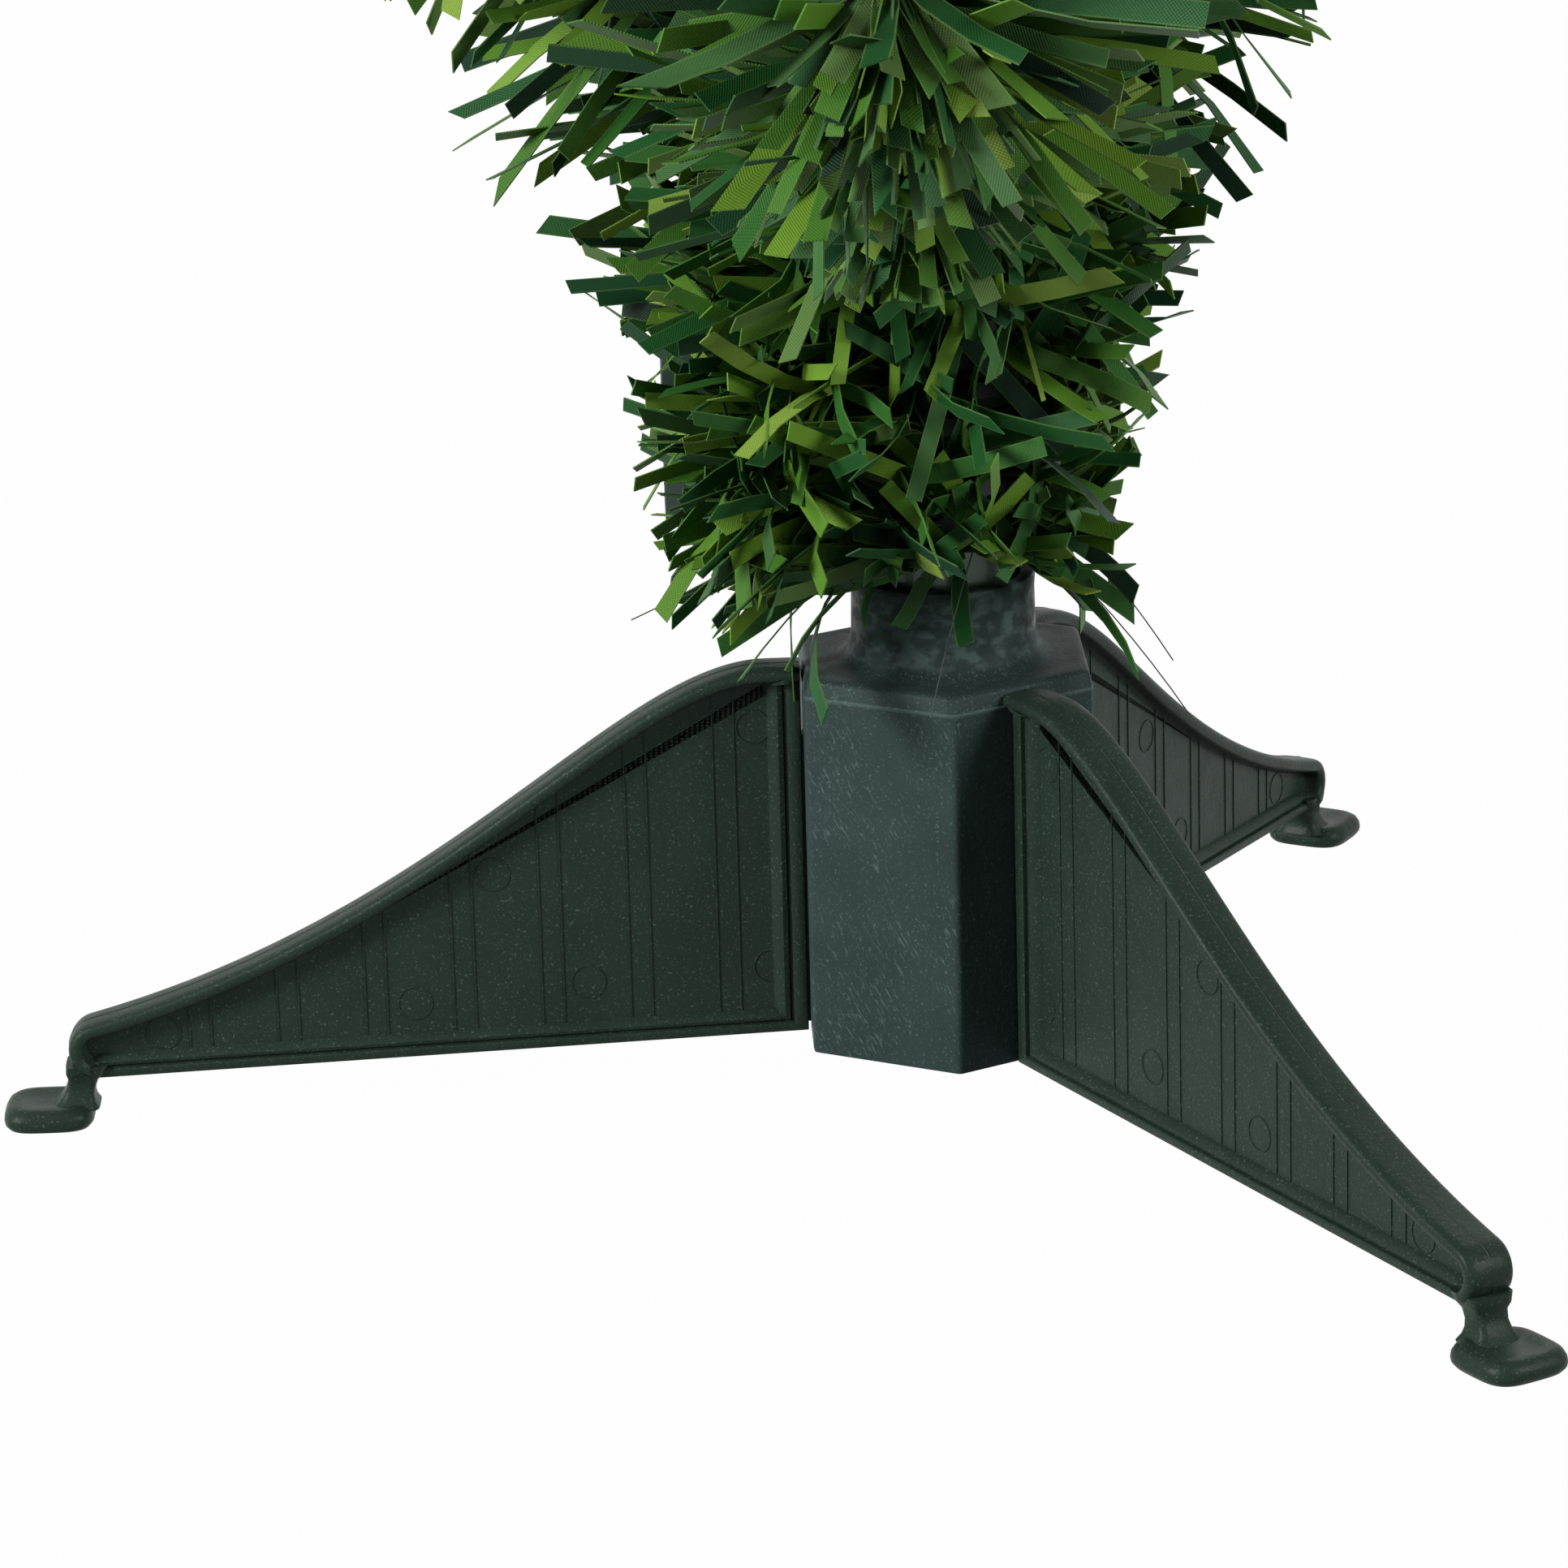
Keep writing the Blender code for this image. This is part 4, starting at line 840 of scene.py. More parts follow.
def add_tongue(shape):
    """The T-shaped rail on the leg's back, which slides in the hub's slot."""
    head_outer = HUB_FLAT - HUB_WALL - RAIL_GAP
    head_inner = head_outer - RAIL_HEAD_DEPTH
    low, high = head_inner + RAIL_GAP, LEG_ROOT + RAIL_ROOT
    levels = [((low + high) / 2, (high - low) / 2, RAIL_HALF, z)
              for z in (RAIL_FOOT, RAIL_FOOT + RAIL_GAP, RAIL_TOP - RAIL_GAP, RAIL_TOP)]
    shape.add(*stacked(levels, 14.0, 24))
    middle = (head_inner + head_outer) / 2
    half = (head_outer - head_inner) / 2
    levels = [(middle, half - cut_in, RAIL_HEAD_HALF - cut_in, z) for cut_in, z in
              ((RAIL_GAP, RAIL_FOOT + RAIL_GAP), (0.0, RAIL_FOOT + 2 * RAIL_GAP),
               (0.0, RAIL_TOP - 2 * RAIL_GAP), (RAIL_GAP, RAIL_TOP - RAIL_GAP))]
    shape.add(*stacked(levels, 10.0, 28))


def make_legs():
    for name, azimuth in LEG_AZIMUTHS.items():
        shape = Shape()
        for add_part in (add_rim, add_web_marks, add_foot, add_tongue):
            add_part(shape)
        shape.moved(Matrix.Rotation(math.radians(azimuth), 4, "Z"))
        install(name + "_shell", shape.mesh(name, weld=WELD), "leg", name, "leg_plastic", name)


# Needles

def needle_mesh(name, seed, roots, heads, widths_along, lengths, shades, stations, bend,
                kink_share, limit=None, avoid=(), allow=()):
    """Cut strips as thin closed ribbons.

    Each centre line starts at its root along its head direction and turns, in the plane square
    to the strip's width, by an angle that grows steadily with a sharper turn where it is
    kinked: the points are running sums of cosine times head plus sine times normal."""
    rng = np.random.default_rng(seed)
    count = len(roots)
    heads = unit(heads)
    side = unit(widths_along - heads * np.sum(widths_along * heads, -1, keepdims=True))
    roll = rng.normal(0.0, 0.75, count)[:, None]
    side = swung(roll, side, np.cross(heads, side))
    normal = np.cross(heads, side)
    t = np.linspace(0, 1, stations)
    turn = rng.normal(0, bend, count)[:, None] * t * 1.6
    kinked = rng.random(count) < kink_share
    where = rng.uniform(0.35, 0.8, count)[:, None]
    turn = turn + (kinked * rng.normal(0, 1.1, count))[:, None] * (t > where)
    step = np.diff(t, prepend=0.0)
    travel = swung(turn[..., None], heads[:, None], normal[:, None])
    centre = roots[:, None] + np.cumsum(travel * step[:, None], 1) * lengths[:, None, None]
    face = swung(turn[..., None], normal[:, None], -heads[:, None])
    sliver = rng.random(count) < 0.025
    half = np.where(sliver, 0.12, rng.uniform(0.41, 0.58, count)) * NEEDLE_WIDTH
    narrow = np.interp(t, (0, 0.25, 1), (0.55, 1.0, 1.0))
    twist = rng.normal(0, 0.35, count)[:, None] * t
    across = swung(twist[..., None], side[:, None], face) * (half[:, None] * narrow)[..., None]
    lift = np.cross(unit(travel), unit(across)) * NEEDLE_THICKNESS / 2
    slant = (rng.normal(0, 0.45, count) * half)[:, None] * (t == 1)
    corners = []
    for s, h in ((1, 1), (-1, 1), (-1, -1), (1, -1)):
        corners.append(centre + s * across + h * lift + (s * slant)[..., None] * travel)
    points = np.stack(corners, 2)
    low, high = points.reshape(count, -1, 3).min(1), points.reshape(count, -1, 3).max(1)
    keep = np.ones(count, bool)
    if limit is not None:
        keep &= (low > limit[0]).all(1) & (high < limit[1]).all(1)
    for corner_low, corner_high in avoid:
        inside = (points > corner_low).all(-1) & (points < corner_high).all(-1)
        keep &= ~inside.any((1, 2))
    for rule in allow:
        keep &= rule(points).all((1, 2))
    points, shades, lengths = points[keep], shades[keep], lengths[keep]
    count = len(points)
    ring = grid_faces(stations, 4, False, True)
    one = np.concatenate([ring, list(end_caps(stations, 4))])
    faces = (one[None] + (np.arange(count) * stations * 4)[:, None, None]).reshape(-1, 4)
    u_side = np.array([0.46, -0.46, -0.46, 0.46])
    u = (shades[:, None, None] + 0.5 + u_side) / NEEDLE_COLUMNS
    v = 0.02 + 0.96 * t[None, :, None] * (lengths / NEEDLE_LONGEST)[:, None, None]
    return quad_mesh(name, points.reshape(-1, 3), faces, rows_of(u, v).reshape(-1, 2))


def quad_mesh(name, points, faces, uv):
    """A mesh of quads filled straight from arrays, with one UV map that has a place a point."""
    mesh = bpy.data.meshes.new(name)
    mesh.vertices.add(len(points))
    mesh.vertices.foreach_set("co", points.astype(np.float32).ravel())
    mesh.loops.add(faces.size)
    mesh.loops.foreach_set("vertex_index", faces.astype(np.int32).ravel())
    mesh.polygons.add(len(faces))
    mesh.polygons.foreach_set("loop_start", np.arange(0, faces.size, 4, dtype=np.int32))
    layer = mesh.uv_layers.new(name="OFBake")
    layer.data.foreach_set("uv", uv[faces.ravel()].astype(np.float32).ravel())
    mesh.update(calc_edges=True)
    mesh.validate()
    return smoothed(mesh, 60)


def bottle_brush(rng, start, end, density, lean, lean_tip, shortest, longest):
    """Roots and directions of needles held in a wire from start to end.

    They stand out round the wire on a helix with some scatter, each leaning from the wire by an
    angle that narrows towards the tip."""
    start, run, span, along = line_of(start, end)
    count = int(span * density)
    place = np.sort(rng.random(count))
    angle = (place * span / BRUSH_PITCH + rng.integers(0, 2, count) * 0.5) * 2 * np.pi
    angle = angle + rng.normal(0, 0.6, count)
    out = swung(angle[:, None], *square_pair(along))
    tilt = np.radians(lean + (lean_tip - lean) * place**4 + rng.normal(0, 16, count))[:, None]
    roots = start + place[:, None] * run + BRUSH_CORE * out
    return (roots, swung(tilt, along, out), swung(tilt, -out, along),
            rng.uniform(shortest, longest, count))


def pick_shades(rng, count, weights):
    weights = np.array(weights, float)
    return rng.choice(NEEDLE_COLUMNS, count, p=weights / weights.sum())


TRIM_HEIGHTS = (0.0600, 0.0735, 0.0930, 0.1028, 0.1075, 0.1270, 0.1500, 0.1510)
TRIM_LEFT = (0.0310, 0.0405, 0.0410, 0.0440, 0.0590, 0.0620, 0.0600, 1.0)
TRIM_RIGHT = (0.0290, 0.0250, 0.0300, 0.0320, 0.0345, 0.0430, 0.0500, 1.0)


def trimmed(points, shares=1.0):
    """True where a point lies inside the trimmed outline of the lowest needles: its reach to
    the left or right is at most a share of the one given for its height."""
    height = points[..., 2]
    left = np.interp(height, TRIM_HEIGHTS, TRIM_LEFT) * shares
    right = np.interp(height, TRIM_HEIGHTS, TRIM_RIGHT) * shares
    return (points[..., 0] > -left) & (points[..., 0] < right)


def ragged(points):
    """The same outline, drawn in by a share chosen for each needle."""
    shares = np.random.default_rng(len(points)).uniform(LEAST_TRIM_SHARE, 1.0, len(points))
    return trimmed(points, shares[:, None, None])


TRUNK_WEIGHTS = (4, 6, 10, 13, 13, 11, 9, 5, 6, 2, 5, 9)
BRANCH_WEIGHTS = (5, 8, 9, 10, 10, 10, 7, 4, 5, 5, 4, 6)
# The front branch's mix leans to lighter greens as painted light, for the light falling on the front
# of the tree.
FRONT_PAINTED_LIGHT_WEIGHTS = (2, 4, 7, 11, 15, 13, 9, 5, 8, 2, 7, 7)
LEFT_WEIGHTS = (3, 5, 8, 12, 13, 12, 7, 3, 4, 4, 3, 6)
RIGHT_WEIGHTS = (9, 11, 12, 10, 9, 7, 5, 2, 5, 6, 3, 9)


def join_brushes(parts):
    return [np.concatenate(column) for column in zip(*parts)]


def node_points(name):
    data = frame["nodes"][name].data
    table = np.empty(len(data.vertices) * 3, np.float32)
    data.vertices.foreach_get("co", table)
    return table.reshape(-1, 3).astype(float)


def joint_place(body):
    return np.array(next(j for j in frame["joints"] if j["child"] == body)["pos_m"], float)


def branch_frame(number):
    """The branch's root, direction, length and 4 by 4 placing matrix, read from its joint and
    from the far end of its wire."""
    body = f"branch_{number:02d}"
    root = joint_place(body)
    points = node_points(body + "_wire")
    reach = np.linalg.norm(points - root, axis=1)
    tip = points[reach > reach.max() - TIP_DEPTH].mean(0)
    length = float(np.linalg.norm(tip - root))
    along = (tip - root) / length
    across = unit(np.cross((0.0, 0.0, 1.0), along))
    return body, length, placing(along, across, np.cross(along, across), root)


def branch_twigs(number, length):
    """Start and end of each side twig, in the branch's frame. The front branch has none."""
    if number == FRONT_BRANCH:
        return []
    rows = 8 if length > 0.19 else 7 if length > 0.15 else 5
    twig_rows, twig_length = TWIG_ROWS_OF_BRANCH[rows]
    sleeve = length - SLEEVE_START - SLEEVE_TIP_GAP
    twigs = []
    for row in twig_rows:
        start = np.array([SLEEVE_START + sleeve * (row + 0.5) / rows, 0.0, 0.0])
        reach = twig_length * (1 - 0.5 * row / rows)
        for degrees in (30, 150, 90) if row == twig_rows[-1] else (30, 150):
            turn = math.radians(degrees)
            way = unit(np.array([1.0, TWIG_SPREAD * math.cos(turn),
                                 TWIG_SPREAD * math.sin(turn)]))
            twigs.append((start, start + way * (reach + TWIG_FRINGE)))
    return twigs


def add_twist(shape, centre, turns, pair, offset, radius, sides):
    """Two bars twisted round a centre line: helices of one pitch, half a turn apart."""
    for half_turn in (0, np.pi):
        angle = (turns * 2 * np.pi + half_turn)[:, None]
        shape.add(*tube(centre + offset * swung(angle, *pair), radius, sides))


def twisted_wire(shape, start, end, radius=STRAND_RADIUS):
    """The two strands of a straight piece of wire."""
    start, run, span, along = line_of(start, end)
    place = np.linspace(0, span, max(int(span / WIRE_PITCH * 6), 8))
    add_twist(shape, start + place[:, None] * along, place / WIRE_PITCH, square_pair(along),
              radius, radius, 5)


def front_trim(roots, heads, lengths, rng):
    """Lengths cut back so that no needle reaches below a plane that rises towards the front:
    the room above it over the rate at which the needle sinks towards it."""
    room = roots[:, 2] + FRONT_TRIM_SLOPE * roots[:, 1] - FRONT_TRIM_HEIGHT
    ways = unit(heads)
    sink = np.maximum(-ways[:, 2] - FRONT_TRIM_SLOPE * ways[:, 1], LEAST_SINK)
    return np.minimum(lengths, room / sink * rng.uniform(0.5, 1.1, len(lengths)))


def hanging_needles(rng, place, spread, shortest, longest):
    """Needles that hang from these places along the front branch."""
    count = len(place)
    heads = rows_of(rng.normal(0.20, 0.22, count), rng.normal(0, spread, count), -1)
    widths = rows_of(rng.normal(0, 0.4, count), 1, 0)
    return (rows_of(place, 0, -STRAND_RADIUS), heads, widths,
            rng.uniform(shortest, longest, count))


def bulb_veil(rng, length):
    """Needles that hang close before each bulb of the front branch."""
    near = [np.minimum(length * share + rng.uniform(*VEIL_AHEAD, 75), length)
            for share in BULB_SHARES]
    return hanging_needles(rng, np.concatenate(near), 0.36, *VEIL_LENGTHS)


def long_enough(points):
    """True for needles whose first and last points lie some way apart."""
    span = np.linalg.norm(points[:, -1:] - points[:, :1], axis=-1)
    return span > SHORTEST_CUT


def box_rooms():
    """Low and high corners of the battery box with its lid, and of the stand's neck and hub."""
    low, high = corners_of("battery_case")
    low = np.maximum(low, (-1.0, BOX_INNER, 0.0))
    high = np.maximum(high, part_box("battery_cover")[1])
    neck = NECK_RADIUS + NEEDLE_THICKNESS
    hub = np.array([HUB_FLAT, HUB_FLAT / math.cos(math.pi / 6), 0.0])
    return ((low - NEEDLE_THICKNESS, high + NEEDLE_THICKNESS),
            (np.array([-neck, -neck, 0.0]), np.array([neck, neck, NECK_TOP])),
            (-hub, hub + (0, 0, HUB_TOP)))


# Branch: needles a metre, lean at the root, longest needle share, shades
BRANCH_STYLES = {1: (3900, 62, 1.0, FRONT_PAINTED_LIGHT_WEIGHTS), 2: (3400, 72, 1.0, RIGHT_WEIGHTS),
                 3: (3400, 72, 1.0, RIGHT_WEIGHTS), 5: (3400, 72, 1.0, LEFT_WEIGHTS),
                 6: (3400, 74, 1.0, LEFT_WEIGHTS)}


def make_branch(number):
    rng = np.random.default_rng(100 + number)
    body, length, table = branch_frame(number)
    twigs = branch_twigs(number, length)
    shape = Shape()
    twisted_wire(shape, (0, 0, 0), (length, 0, 0))
    turn = np.linspace(0.15, np.pi - 0.15, 7)
    shape.add(*turned(ROOT_BALL * rows_of(np.sin(turn), np.cos(turn)), 10))
    for start, end in twigs:
        twisted_wire(shape, start, end - 0.1 * (end - start), STRAND_RADIUS * 0.75)
    install(body + "_stem", shape.moved(table).mesh(body + "_stem", smooth=60), "wire", body,
            "twisted_wire", body + "_wire")
    density, lean, longest, weights = BRANCH_STYLES.get(number, (2900, 64, 0.95,
                                                                 BRANCH_WEIGHTS))
    brushes = [bottle_brush(rng, (BRUSH_START, 0, 0), (length, 0, 0), density, lean, 24,
                            BRUSH_SHORTEST, BRUSH_LONGEST * longest)]
    for start, end in twigs:
        brushes.append(bottle_brush(rng, start, end, density * 0.85, 60, 22,
                                    BRUSH_SHORTEST * 0.9, BRUSH_LONGEST * 0.9))
    if number == FRONT_BRANCH:
        place = rng.uniform(0.25, 1.0, 170) * length
        brushes.append(hanging_needles(rng, place, 0.8, *HANGING_LENGTHS))
        brushes.append(bulb_veil(rng, length))
    roots, heads, widths, lengths = join_brushes(brushes)
    roots = put(roots, table)
    heads = heads @ table[:3, :3].T
    widths = widths @ table[:3, :3].T
    shades = pick_shades(rng, len(roots), weights)
    allow = [trimmed] if number <= LOW_BRANCHES else []
    if number == FRONT_BRANCH:
        cut_back = len(roots) - len(brushes[-1][0])
        lengths[:cut_back] = front_trim(roots, heads, lengths, rng)[:cut_back]
        allow.append(long_enough)
    mesh = needle_mesh(body, 200 + number, roots, heads, widths, lengths, shades, 4, 0.24,
                       0.07, limit=(CAD_LOW - FRINGE, CAD_HIGH + FRINGE),
                       avoid=box_rooms()[:1] if number <= LOW_BRANCHES else (), allow=allow)
    install(body + "_foliage", mesh, "needles", body, "pvc_needles", body + "_needles")
    make_branch_lights(body, length, table)


# Radius and height of the bulb's holder, and of the lens below its nose
HOLDER_ROWS = ((0.0009, 0), (0.0016, 0.0004), (0.0019, 0.0014), (0.0018, 0.0030),
               (0.0017, 0.0044), (0.0014, 0.0050), (0.0012, 0.0051))
LENS_ROWS = ((0.0012, 0.0046), (0.0017, 0.0050), (0.0021, 0.0058))
LENS_RADIUS = 0.0021
LENS_TIP = 0.00008
LENS_NOSE = 0.0066
LENS_RISE = 0.0052


def bulb_shapes(lead, lenses, point, aim):
    """A tapered holder and a round-nosed lens along the aim: two turned profiles. The nose's
    radius goes with the cosine of its turn, raised to a power, and its height with the sine."""
    aim = unit(np.asarray(aim, float))
    first = unit(np.cross(aim, (0.3, 0.9, 0.1)))
    table = placing(first, np.cross(aim, first), aim, point)
    nose = [(LENS_RADIUS * math.cos(a) ** 0.8 + LENS_TIP, LENS_NOSE + LENS_RISE * math.sin(a))
            for a in np.linspace(0, np.pi / 2 - 0.2, 6)]
    for shape, rows, sides in ((lead, HOLDER_ROWS, 12), (lenses, LENS_ROWS + tuple(nose), 14)):
        points, faces, caps = turned(rows, sides)
        shape.add(put(points.reshape(-1, 3), table), faces, caps)


def make_branch_lights(body, length, table):
    """A twin lead along the underside of the branch, with three bulbs."""
    lead, lenses = Shape(), Shape()
    place = np.linspace(LEAD_START, length, 40)
    for side in (-1, 1):
        path = rows_of(place, side * LEAD_RADIUS * 0.95, -LEAD_DROP)
        lead.add(*tube(path, LEAD_RADIUS, 8))
    for number, share in enumerate(BULB_SHARES):
        aim = (0.5, 0.25 * (-1, 1, 0)[number], -0.9)
        bulb_shapes(lead, lenses, np.array([length * share, 0.0, -LEAD_DROP]), aim)
    install(body + "_lead", lead.moved(table), "lead", body, "light_lead", body + "_lights")
    install(body + "_bulbs", lenses.moved(table), "bulb", body, "light_lead")


# Trunk and crown

def make_trunk():
    inner = POLE_RADIUS - POLE_WALL
    edge = POLE_EDGE
    tube_rows = [(POLE_RADIUS - edge, POLE_FOOT), (POLE_RADIUS, POLE_FOOT + edge),
                 (POLE_RADIUS, POLE_TOP - edge), (POLE_RADIUS - edge, POLE_TOP),
                 (inner + edge, POLE_TOP), (inner, POLE_TOP - edge),
                 (inner, POLE_FOOT + edge), (inner + edge, POLE_FOOT)]
    shape = Shape().add(*turned(tube_rows, 48, True)[:2])
    install("trunk_tube", shape, "pole", "trunk", "painted_steel", "trunk_pole")
    # The tape is wound closely enough to hide the tube; its dark colour is partly painted shade in
    # the gaps between the needles.
    place = np.linspace(0, 1, TAPE_TURNS * 20)
    angle = place * TAPE_TURNS * 2 * np.pi
    height = TAPE_FOOT + TAPE_HALF * (1 - 2 * place) + place * (POLE_TOP - TAPE_FOOT)
    tape = Shape().add(*tube(around(angle, TAPE_RADIUS, height), TAPE_HALF, 6))
    install("trunk_tape", tape, "tape", "trunk", "pvc_needles")
    make_trunk_needles()


# Count, lowest and highest root, azimuth and its spread, outward least and most, sideways
# spread, upward mean and spread, shortest and longest, pull towards the right
TRUNK_WRAPS = (
    (240, 0.0737, 0.0780, 0, 180, 0.30, 1.0, 0.90, 0.10, 0.22, 0.014, 0.024, 0.0),
    (470, 0.0750, 0.1180, 0, 180, 0.10, 0.9, 1.10, 0.08, 0.50, 0.024, 0.038, 0.0),
    (260, 0.0745, 0.1120, 212, 42, 0.10, 0.6, 0.28, -0.03, 0.34, 0.022, 0.033, -1.0),
    (150, 0.0740, 0.0960, 208, 30, 0.10, 0.35, 0.16, 0.02, 0.24, 0.0240, 0.0310, -1.0),
    (120, 0.0745, 0.1120, -25, 40, 0.20, 0.7, 0.30, -0.02, 0.34, 0.015, 0.026, 0.7),
)
LOW_WRAPS = (
    (24, 0.0737, 0.0800, 214, 30, 0.20, 0.6, 0.25, -0.38, 0.28, 0.020, 0.030, -0.9),
    (12, 0.0737, 0.0790, -20, 26, 0.75, 1.0, 0.25, -0.40, 0.20, 0.012, 0.020, 0.0),
    (8, 0.0737, 0.0765, -32, 14, 0.30, 0.5, 0.10, -0.62, 0.10, 0.020, 0.027, 0.6),
    (6, 0.0737, 0.0760, 262, 45, 0.25, 0.5, 0.35, -0.50, 0.15, 0.008, 0.012, 0.0),
)
UPPER_WRAPS = (
    (1150, 0.1150, 0.1700, 0, 180, 0.25, 1.0, 0.95, 0.05, 0.45, 0.021, 0.034, 0.0),
    (4200, 0.1700, 0.5440, 0, 180, 0.30, 1.0, 0.90, 0.10, 0.45, 0.018, 0.031, 0.0),
)
# Root, way and length of a few loose hairs
HAIRS = (((-0.012, -0.010, 0.0745), (-1.0, 0.05, 0.0), 0.028),
         ((0.014, -0.009, 0.0790), (0.80, -0.10, -0.75), 0.020),
         ((0.011, -0.010, 0.0770), (0.70, -0.15, -0.60), 0.026),
         ((0.004, -0.012, 0.0780), (-0.40, -0.60, -0.90), 0.020))


def wrap_needles(rng, wraps):
    """Needles of a garland wound round the tube. Each starts at the tube and heads outwards,
    with a scatter sideways and up or down."""
    parts = []
    for (count, low, high, azimuth, spread, least, most, side, rise, rise_spread, shortest,
         longest, pull) in wraps:
        height = rng.uniform(low, high, count)
        turn = np.radians(azimuth + rng.uniform(-spread, spread, count))
        out = around(turn)
        round_way = np.cross((0.0, 0.0, 1.0), out)
        heads = (rng.uniform(least, most, count)[:, None] * out
                 + rng.normal(0, side, count)[:, None] * round_way
                 + rows_of(pull, 0, rng.normal(rise, rise_spread, count)))
        lengths = rng.uniform(shortest, longest, count) * (1.1 - 0.1 * np.cos(turn))
        parts.append((around(turn, WRAP_ROOT, height), heads, 0.6 * round_way + (0, 0, 1),
                      lengths))
    return join_brushes(parts)


def clear_of_neck(points):
    """True above the line that the lowest needles keep in front of the neck, seen from a little
    above: height and a share of the depth, with the line falling away beside the neck."""
    beside = np.maximum(np.abs(points[..., 0]) - NECK_RADIUS, 0)
    return (points[..., 2] + NECK_VIEW_SHARE * np.minimum(points[..., 1], 0)
            > NECK_CLEAR - NECK_FALL_SHARE * beside)


def make_trunk_needles():
    rooms = box_rooms()
    for name, seed, wraps, stations, allow in (
            ("trunk_foliage", 7, TRUNK_WRAPS, 6, [ragged, clear_of_neck]),
            ("trunk_foliage_low", 8, LOW_WRAPS, 6, [ragged]),
            ("trunk_foliage_upper", 9, UPPER_WRAPS, 4, [ragged])):
        rng = np.random.default_rng(seed)
        roots, heads, widths, lengths = wrap_needles(rng, wraps)
        shades = pick_shades(rng, len(roots), TRUNK_WEIGHTS)
        mesh = needle_mesh(name, seed + 1, roots, heads, widths, lengths, shades, stations,
                           0.5, 0.2, avoid=rooms, allow=allow)
        replaced = ["trunk_needles"] if wraps is TRUNK_WRAPS else []
        install(name, mesh, "needles", "trunk", "pvc_needles", *replaced)
    hairs = Shape()
    for root, way, length in HAIRS:
        t = np.linspace(0, 1, 9)[:, None]
        sag = rows_of(0, 0, -0.25 * length * t[:, 0]**2)
        hairs.add(*tube(np.array(root) + unit(np.array(way)) * length * t + sag,
                        HAIR_RADIUS, 5))
    install("trunk_hairs", hairs, "tape", "trunk", "pvc_needles")


def crown_twigs():
    """The crown's side twigs: three or so in each row, every second row turned by 60 degrees,
    and none where the lead runs."""
    sleeve = CROWN_TOP - CROWN_FOOT - SLEEVE_TIP_GAP
    twigs = []
    for row in range(5):
        for degrees in range(30, 360, 60):
            from_lead = abs((degrees - LEAD_AZIMUTH + 180) % 360 - 180)
            if (degrees // 60 + row) % 2 == 1 and from_lead > 40:
                turn = math.radians(degrees)
                start = np.array([0, 0, CROWN_SLEEVE + sleeve * (row + 0.5) / CROWN_ROWS])
                way = unit(np.array([1.25 * math.cos(turn), 1.25 * math.sin(turn), 1.0]))
                reach = CROWN_TWIG * (1 - 0.5 * row / CROWN_ROWS) + TWIG_FRINGE
                twigs.append((start, start + way * reach))
    return twigs


def make_crown():
    rng = np.random.default_rng(11)
    shape = Shape()
    twisted_wire(shape, (0, 0, LEADER_FOOT), (0, 0, CROWN_TOP))
    twigs = crown_twigs()
    for start, end in twigs:
        twisted_wire(shape, start, end - 0.1 * (end - start), STRAND_RADIUS * 0.75)
    install("leader_wire", shape.mesh("leader_wire", smooth=60), "wire", "trunk",
            "twisted_wire", "crown_wire")
    foot, top = (0, 0, CROWN_NEEDLES_FOOT), (0, 0, CROWN_TOP - CROWN_BARE)
    brushes = [bottle_brush(rng, foot, top, 2700, 58, 20, *CROWN_LENGTHS)]
    for start, end in twigs:
        brushes.append(bottle_brush(rng, start, end, 2700, 60, 20, *CROWN_LENGTHS))
    roots, heads, widths, lengths = join_brushes(brushes)
    shades = pick_shades(rng, len(roots), BRANCH_WEIGHTS)
    mesh = needle_mesh("crown", 12, roots, heads, widths, lengths, shades, 4, 0.22, 0.06,
                       limit=(CAD_LOW - FRINGE, CAD_HIGH + (FRINGE, FRINGE, 0.0)))
    install("crown_foliage", mesh, "needles", "trunk", "pvc_needles", "crown_needles")


# Light string up the trunk, plug and battery box

def smooth_route(points, steps):
    """Points along cubic Hermite curves through each given point. The tangent at a point runs
    from the point before to the point after, as long as the shorter of its two runs."""
    points = np.asarray(points, float)
    ends = np.concatenate([[2 * points[0] - points[1]], points, [2 * points[-1] - points[-2]]])
    reach = np.linalg.norm(np.diff(ends, axis=0), axis=1)
    tangents = unit(ends[2:] - ends[:-2]) * np.minimum(reach[1:], reach[:-1])[:, None]
    t = np.linspace(0, 1, steps, endpoint=False)[:, None]
    route = [(1 + 2 * t) * (1 - t)**2 * here + t * (1 - t)**2 * leave
             + t * t * (3 - 2 * t) * after + t * t * (t - 1) * arrive
             for here, after, leave, arrive in zip(points, points[1:], tangents, tangents[1:])]
    return np.concatenate(route + [points[-1:]])


